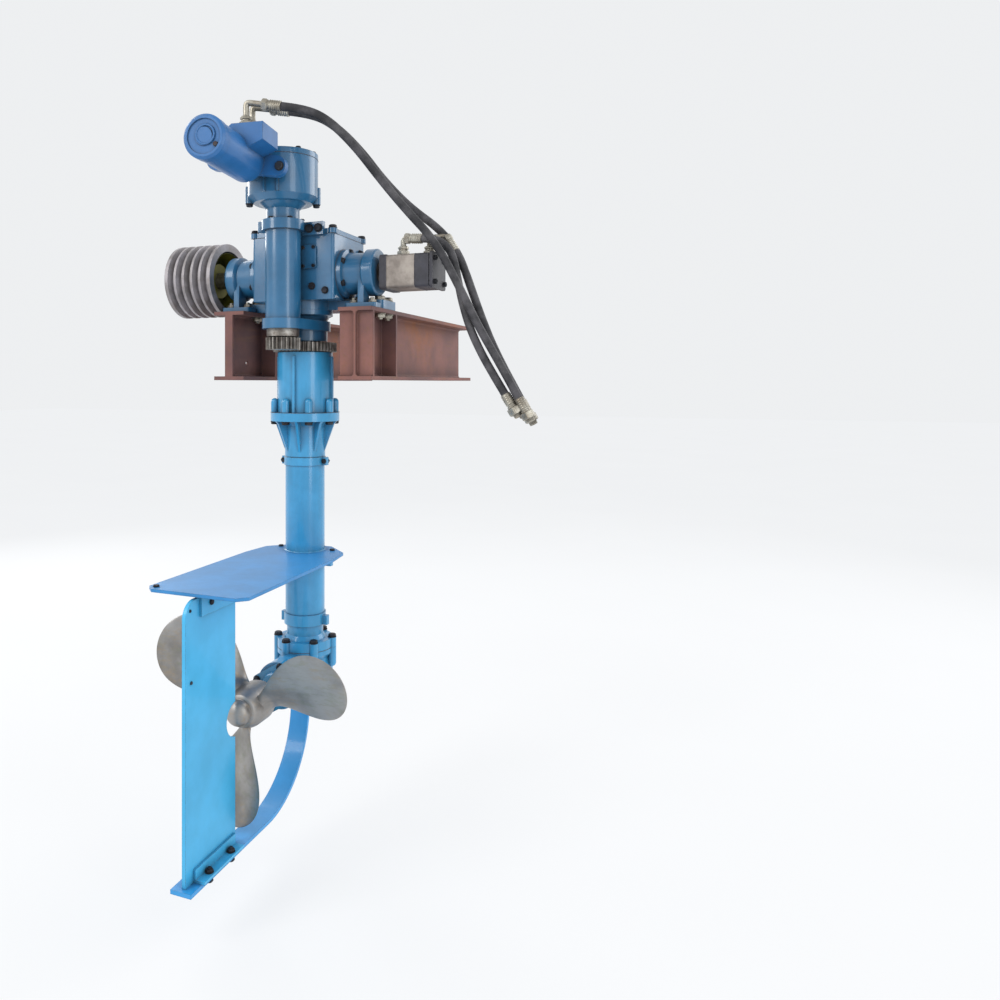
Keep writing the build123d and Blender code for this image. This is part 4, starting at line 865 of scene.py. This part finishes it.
MOTOR_CAP_RIM, MOTOR_CAP_FACE, MOTOR_CAP_RADIUS = 354.0, 380.5, 52.6
INPUT_Z = 302.0
CARRIER_FACE, CARRIER_CIRCLE, CARRIER_SEAT, CARRIER_RADIUS = 144.0, 61.0, 130.3, 70.2
COLUMN_Y = -132.0
COLUMN_FLANGE_TOP, COLUMN_FLANGE_UNDER = 440.0, 412.0
COLUMN_CIRCLE, COLUMN_RADIUS = 52.5, 49.6
DRUM_LOW, DRUM_LUG_CIRCLE = 486.0, 92.0
DRUM_RIM, DRUM_RADIUS = 606.0, 97.1
DRUM_LID_TOP, DRUM_LID_CIRCLE = 621.0, 86.0
PANEL_X, PANEL_Z, PANEL_FACE = 55.0, 345.0, -86.0
PANEL_SCREW_X, PANEL_SCREW_Z, PANEL_SCREW = 16.0, 26.0, 6.0
BOX_BACK, BOX_BACK_BOLTS = -80.0, ((63.0, 263.0), (104.0, 250.0))
BOX_SIDE, OIL_PLUG_Y, OIL_PLUG_LEVELS, OIL_PLUG = 130.0, 100.0, (372.0, 246.0), 13.0
HEAD_LOW, HEAD_RADIUS = -93.0, 100.1
BELL_UNDER, BELL_CIRCLE = -118.0, 88.0
ADAPTER_TOP, ADAPTER_CIRCLE = -745.0, 80.0
CASE_TOP, CASE_RADIUS = -772.0, 80.1
CAP_FACE, CAP_CIRCLE = -175.0, 59.4
BAR_UNDER, BRACKET_TOP, BAR_BOLT_X, BAR_BOLT_ROWS = -1163.0, -1147.0, 21.0, (-430.0, -522.0)
PLATE_TOP, PLATE_UNDER = -492.0, -500.0
PLATE_SCREWS = ((-84.0, 8.0), (84.0, 8.0), (34.0, 46.0), (-34.0, 46.0), (-116.0, -540.0))
FIN_SCREWS = ((11.0, -500.0, -524.0, 8.0), (5.0, -576.0, -528.0, 4.0), (5.0, -572.0, -693.0, 4.5))
CLAMP_LUGS, CLAMP_LUG_HALF = ((66.5, -233.5), (77.0, -517.0)), 9.0
PUMP_Y, PUMP_Z, PUMP_END = 15.0, 298.0, 404.8
PUMP_JOINTS, PUMP_WIDE, PUMP_TALL, PUMP_CORNER = (270.0, 353.0), 110.2, 92.2, 10.0
PUMP_SCREW_Y, PUMP_SCREW_Z, PUMP_SCREW = (-26.0, 56.0), (266.0, 330.0), 9.0


def bolted(name, shells, body="frame", replaced=(), finish="dark_bolt"):
    """One piece of bolts, nuts and screws."""
    make_piece(name, shells, finish, body, replaced)


def deck_fasteners():
    """Heads on the base plate, and nuts with their stud ends under the beams' flanges."""
    shells = []
    for x in DECK_COLUMNS:
        for y in DECK_ROWS:
            shells += bolt_head(Seat((x, y, DECK_TOP), UP), DECK_BOLT)
            shells += bolt_head(Seat((x, y, FLANGE_UNDER), DOWN), DECK_BOLT, stud=5.0)
    bolted("deck_fasteners", shells, replaced=["deck_bolts"], finish="plated")


def foot_fasteners():
    """Washer, nut and stud end on each hole of the carriers' feet."""
    shells = []
    for x in FOOT_COLUMNS:
        shells += bolt_head(Seat((x, FOOT_ROW, FOOT_TOP), UP), FLANGE_BOLT, stud=6.0)
    bolted("foot_fasteners", shells, finish="plated")


def casing_fasteners():
    """Heads on the gearbox lid, on the column bracket and on the steering motor's flange."""
    shells = []
    for x in LID_COLUMNS:
        for y in LID_ROWS:
            shells += bolt_head(Seat((x, y, LID_TOP), UP), FLANGE_BOLT)
    for x in BRACKET_COLUMNS:
        shells += bolt_head(Seat((x, BRACKET_FACE, LID_TOP), AFT), FLANGE_BOLT)
    for side in BOTH:
        reach = side * MOTOR_LUG
        lug = motor_seat.moved(reach * math.cos(MOTOR_ROLL), -reach * math.sin(MOTOR_ROLL), MOTOR_FLANGE)
        shells += bolt_head(lug, FLANGE_BOLT)
    bolted("casing_fasteners", shells, replaced=["casing_bolts"])


def carrier_fasteners():
    """Six heads round each carrier's flange."""
    shells = []
    for axis, side in ((RIGHT, 1.0), (LEFT, -1.0)):
        for y, z in circle_of(CARRIER_CIRCLE, 6, 30.0):
            shells += bolt_head(Seat((side * CARRIER_FACE, y, INPUT_Z + z), axis), SMALL_BOLT)
    bolted("carrier_fasteners", shells)


def column_fasteners():
    """Heads on the column's flange, under the drum's lugs and round the drum's lid."""
    shells = []
    for x, y in circle_of(COLUMN_CIRCLE, 6, 20.0):
        shells += bolt_head(Seat((x, COLUMN_Y + y, COLUMN_FLANGE_TOP), UP), LIGHT_BOLT, washer=False)
    for x, y in circle_of(DRUM_LUG_CIRCLE, 2, 27.0):
        shells += bolt_head(Seat((x, COLUMN_Y + y, DRUM_LOW), DOWN), SMALL_BOLT)
    for x, y in circle_of(DRUM_LID_CIRCLE, 8, 12.0):
        shells += bolt_head(Seat((x, COLUMN_Y + y, DRUM_LID_TOP), UP), LIGHT_BOLT)
    bolted("column_fasteners", shells)


def gearbox_fittings():
    """Screws of the inspection panel, two bolts below it, and the oil plugs."""
    shells = []
    for side in BOTH:
        for level in BOTH:
            place = (PANEL_X + side * PANEL_SCREW_X, PANEL_FACE, PANEL_Z + level * PANEL_SCREW_Z)
            shells.append(cap_screw(Seat(place, AFT), PANEL_SCREW))
    for x, z in BOX_BACK_BOLTS:
        shells += bolt_head(Seat((x, BOX_BACK, z), AFT), SMALL_BOLT)
    for z in OIL_PLUG_LEVELS:
        shells += bolt_head(Seat((BOX_SIDE, OIL_PLUG_Y, z), RIGHT), OIL_PLUG)
    bolted("gearbox_plugs", shells)


def leg_fasteners():
    """Heads under the bell flange, on the gearcase flange and the aft cap, and the guard bar's bolts."""
    shells = []
    for x, y in circle_of(BELL_CIRCLE, 8, 34.0):
        shells += bolt_head(Seat((x, y, BELL_UNDER), DOWN), FLANGE_BOLT)
    for x, y in circle_of(ADAPTER_CIRCLE, 6, 15.0):
        shells += bolt_head(Seat((x, y, ADAPTER_TOP), UP), FLANGE_BOLT)
    for x, z in circle_of(CAP_CIRCLE, 4, 76.0):
        shells += bolt_head(Seat((x, CAP_FACE, PROP_Z + z), AFT), SMALL_BOLT)
    for y in BAR_BOLT_ROWS:
        shells += bolt_head(Seat((BAR_BOLT_X, y, BAR_UNDER), DOWN), SMALL_BOLT, washer=False)
        shells += bolt_head(Seat((BAR_BOLT_X, y, BRACKET_TOP), UP), SMALL_BOLT, stud=4.0)
    bolted("leg_fasteners", shells, "leg", ["leg_bolts"])


def plate_fasteners():
    """Screws on the cavitation plate, the fin and the clamps' pinch lugs."""
    shells = []
    for x, y in PLATE_SCREWS:
        shells += bolt_head(Seat((x, y, PLATE_TOP), UP), LIGHT_BOLT, washer=False)
    for x, y, z, size in FIN_SCREWS:
        shells += bolt_head(Seat((x, y, z), RIGHT), size, washer=False)
    for x, z in CLAMP_LUGS:
        for side in BOTH:
            shells += bolt_head(Seat((side * x, -CLAMP_LUG_HALF, z), AFT), LIGHT_BOLT, washer=False)
            shells += bolt_head(Seat((side * x, CLAMP_LUG_HALF, z), FORE), LIGHT_BOLT, washer=False)
    bolted("plate_fasteners", shells, "leg")


def pump_screws():
    """Socket screws at the corners of the pump's end block."""
    places = [(PUMP_END, y, z) for y in PUMP_SCREW_Y for z in PUMP_SCREW_Z]
    bolted("pump_screws", [cap_screw(Seat(place, RIGHT), PUMP_SCREW) for place in places])


# Joint lines, welds, the pulley's lining and the motor cap

THIN_BEAD, WIDE_BEAD = 0.8, 0.9
BEAM_X = 200.0
BEAM_WELD, BEAM_WELD_BEND = 2.4, 9.0
TUBE_WELD, TUBE_WELD_RADIUS = 2.6, 57.8
FIN_WELD = 2.2
WEB_GAP, LIP_REACH = 3.8, 48.0
WELD_LOW, WELD_HIGH = 12.5, 187.5
RIGHT_STIFFENERS, LEFT_STIFFENERS = (-83.0, -73.0, 88.0, 98.0), (88.0, 98.0)
FIN_WELD_X, FIN_WELD_Z, FIN_FRONT, FIN_BACK = -5.6, -1152.4, -390.0, -590.0
PULLEY_FACE = -256.0


def ring_path(seat, radius, count=64):
    """Circle of points round a seat."""
    turn = 2 * np.pi * np.arange(count) / count
    return seat.points(radius * np.cos(turn), radius * np.sin(turn), 0.0)


def frame_path(seat, wide, tall, corner):
    """Rectangle of points with rounded corners, round a seat."""
    quarter = np.linspace(0.0, np.pi / 2, 6)
    line = []
    for k, (sx, sy) in enumerate(((1, 1), (-1, 1), (-1, -1), (1, -1))):
        for t in quarter + k * np.pi / 2:
            line.append((sx * (wide / 2 - corner) + corner * math.cos(t),
                         sy * (tall / 2 - corner) + corner * math.sin(t)))
    x, y = np.array(line).T
    return seat.points(x, y, 0.0)


def thin_bead(path, radius=THIN_BEAD):
    """Round bead along a closed path."""
    return carried(path, radius, 8, closed=True)


def joint_lines():
    """Thin dark beads of gasket paste where castings meet, on the box, the drum, the pump and the leg."""
    box = frame_path(Seat((0.0, BOX_Y, BOX_RIM), UP), BOX_WIDE, BOX_DEEP, BOX_CORNER)
    drum = ring_path(Seat((0.0, COLUMN_Y, DRUM_RIM), UP), DRUM_RADIUS)
    column = ring_path(Seat((0.0, COLUMN_Y, COLUMN_FLANGE_UNDER), UP), COLUMN_RADIUS)
    seats = [Seat((side * CARRIER_SEAT, 0.0, INPUT_Z), RIGHT) for side in BOTH]
    carriers = [ring_path(seat, CARRIER_RADIUS) for seat in seats]
    motor = ring_path(motor_seat.moved(0, 0, MOTOR_CAP_RIM), MOTOR_CAP_RADIUS)
    still = [thin_bead(box), thin_bead(drum), thin_bead(column, WIDE_BEAD), *map(thin_bead, carriers),
             thin_bead(motor, WIDE_BEAD)]
    make_piece("casing_joint_lines", still, "black", "frame")
    faces = [Seat((x, PUMP_Y, PUMP_Z), RIGHT, FORE) for x in PUMP_JOINTS]
    pump = [thin_bead(frame_path(face, PUMP_WIDE, PUMP_TALL, PUMP_CORNER), WIDE_BEAD) for face in faces]
    make_piece("pump_joint_lines", pump, "black", "frame")
    turning = [thin_bead(ring_path(Seat((0.0, 0.0, level), UP), radius))
               for level, radius in ((HEAD_LOW, HEAD_RADIUS), (CASE_TOP, CASE_RADIUS))]
    make_piece("leg_joint_lines", turning, "black", "leg")


def beam_welds():
    """Fillet welds where the stiffener plates meet the beams' webs and flanges."""
    runs = [(BEAM_X, side, y) for y in RIGHT_STIFFENERS for side in BOTH]
    runs += [(-BEAM_X, 1.0, y) for y in LEFT_STIFFENERS]
    shells = []
    for middle, side, y in runs:
        web, lip = middle + WEB_GAP * side, middle + LIP_REACH * side
        corners = [(lip, y, WELD_HIGH), (web, y, WELD_HIGH), (web, y, WELD_LOW), (lip, y, WELD_LOW)]
        shells.append(weld_bead(rounded(corners, BEAM_WELD_BEND), BEAM_WELD))
    make_piece("beam_welds", shells, "primer", "frame")


def leg_welds():
    """Weld round the leg tube on both sides of the cavitation plate, and on the left of the fin's foot."""
    rings = [ring_path(Seat((0.0, 0.0, z), UP), TUBE_WELD_RADIUS, 48) for z in (PLATE_TOP, PLATE_UNDER)]
    shells = [weld_bead(ring, TUBE_WELD, closed=True) for ring in rings]
    make_piece("leg_tube_weld", shells, "leg", "leg")
    line = [(FIN_WELD_X, FIN_FRONT, FIN_WELD_Z), (FIN_WELD_X, FIN_BACK, FIN_WELD_Z)]
    foot = weld_bead(line, FIN_WELD)
    make_piece("fin_weld", [foot], "fin", "leg")


def pulley_lining():
    """Olive coat inside the pulley's inboard recess: a thin sleeve and a ring on the web."""
    mouth, web, web_skin = 3.0, 69.9, 69.1
    wall, wall_skin, bush = 83.95, 83.1, 52.6
    section = [(wall, mouth), (wall, web), (bush, web), (bush, web_skin), (wall_skin, web_skin),
               (wall_skin, mouth)]
    lining = ring_of(Seat((PULLEY_FACE, 0.0, INPUT_Z), LEFT), section, 96)
    make_piece("pulley_lining", [lining], "olive", "input_line")


def motor_cap_details():
    """Raised ring and a screw plug on the motor's end cap."""
    face = motor_seat.moved(0, 0, MOTOR_CAP_FACE)
    ring = tube_ring(face.moved(4, 4, 0), 25.0, 20.0, 0.0, 4.6, 1.0)
    make_piece("motor_cap_boss", [ring], "motor", "frame")
    bolted("motor_cap_plug", bolt_head(face.moved(30, -20, 0), 7.0, washer=False))


def small_pieces():
    """Every fastener, weld, joint line, lining and cap detail."""
    deck_fasteners()
    foot_fasteners()
    casing_fasteners()
    carrier_fasteners()
    column_fasteners()
    gearbox_fittings()
    leg_fasteners()
    plate_fasteners()
    pump_screws()
    joint_lines()
    beam_welds()
    leg_welds()
    pulley_lining()
    motor_cap_details()


stage_camera()
stage_room()
dress_nodes()
for name, points in hose_routes.items():
    hose = smooth_hose(name, points)
    coupling = hose_coupling(name, points)
    port_fitting(name, points)
propeller_pieces()
small_pieces()
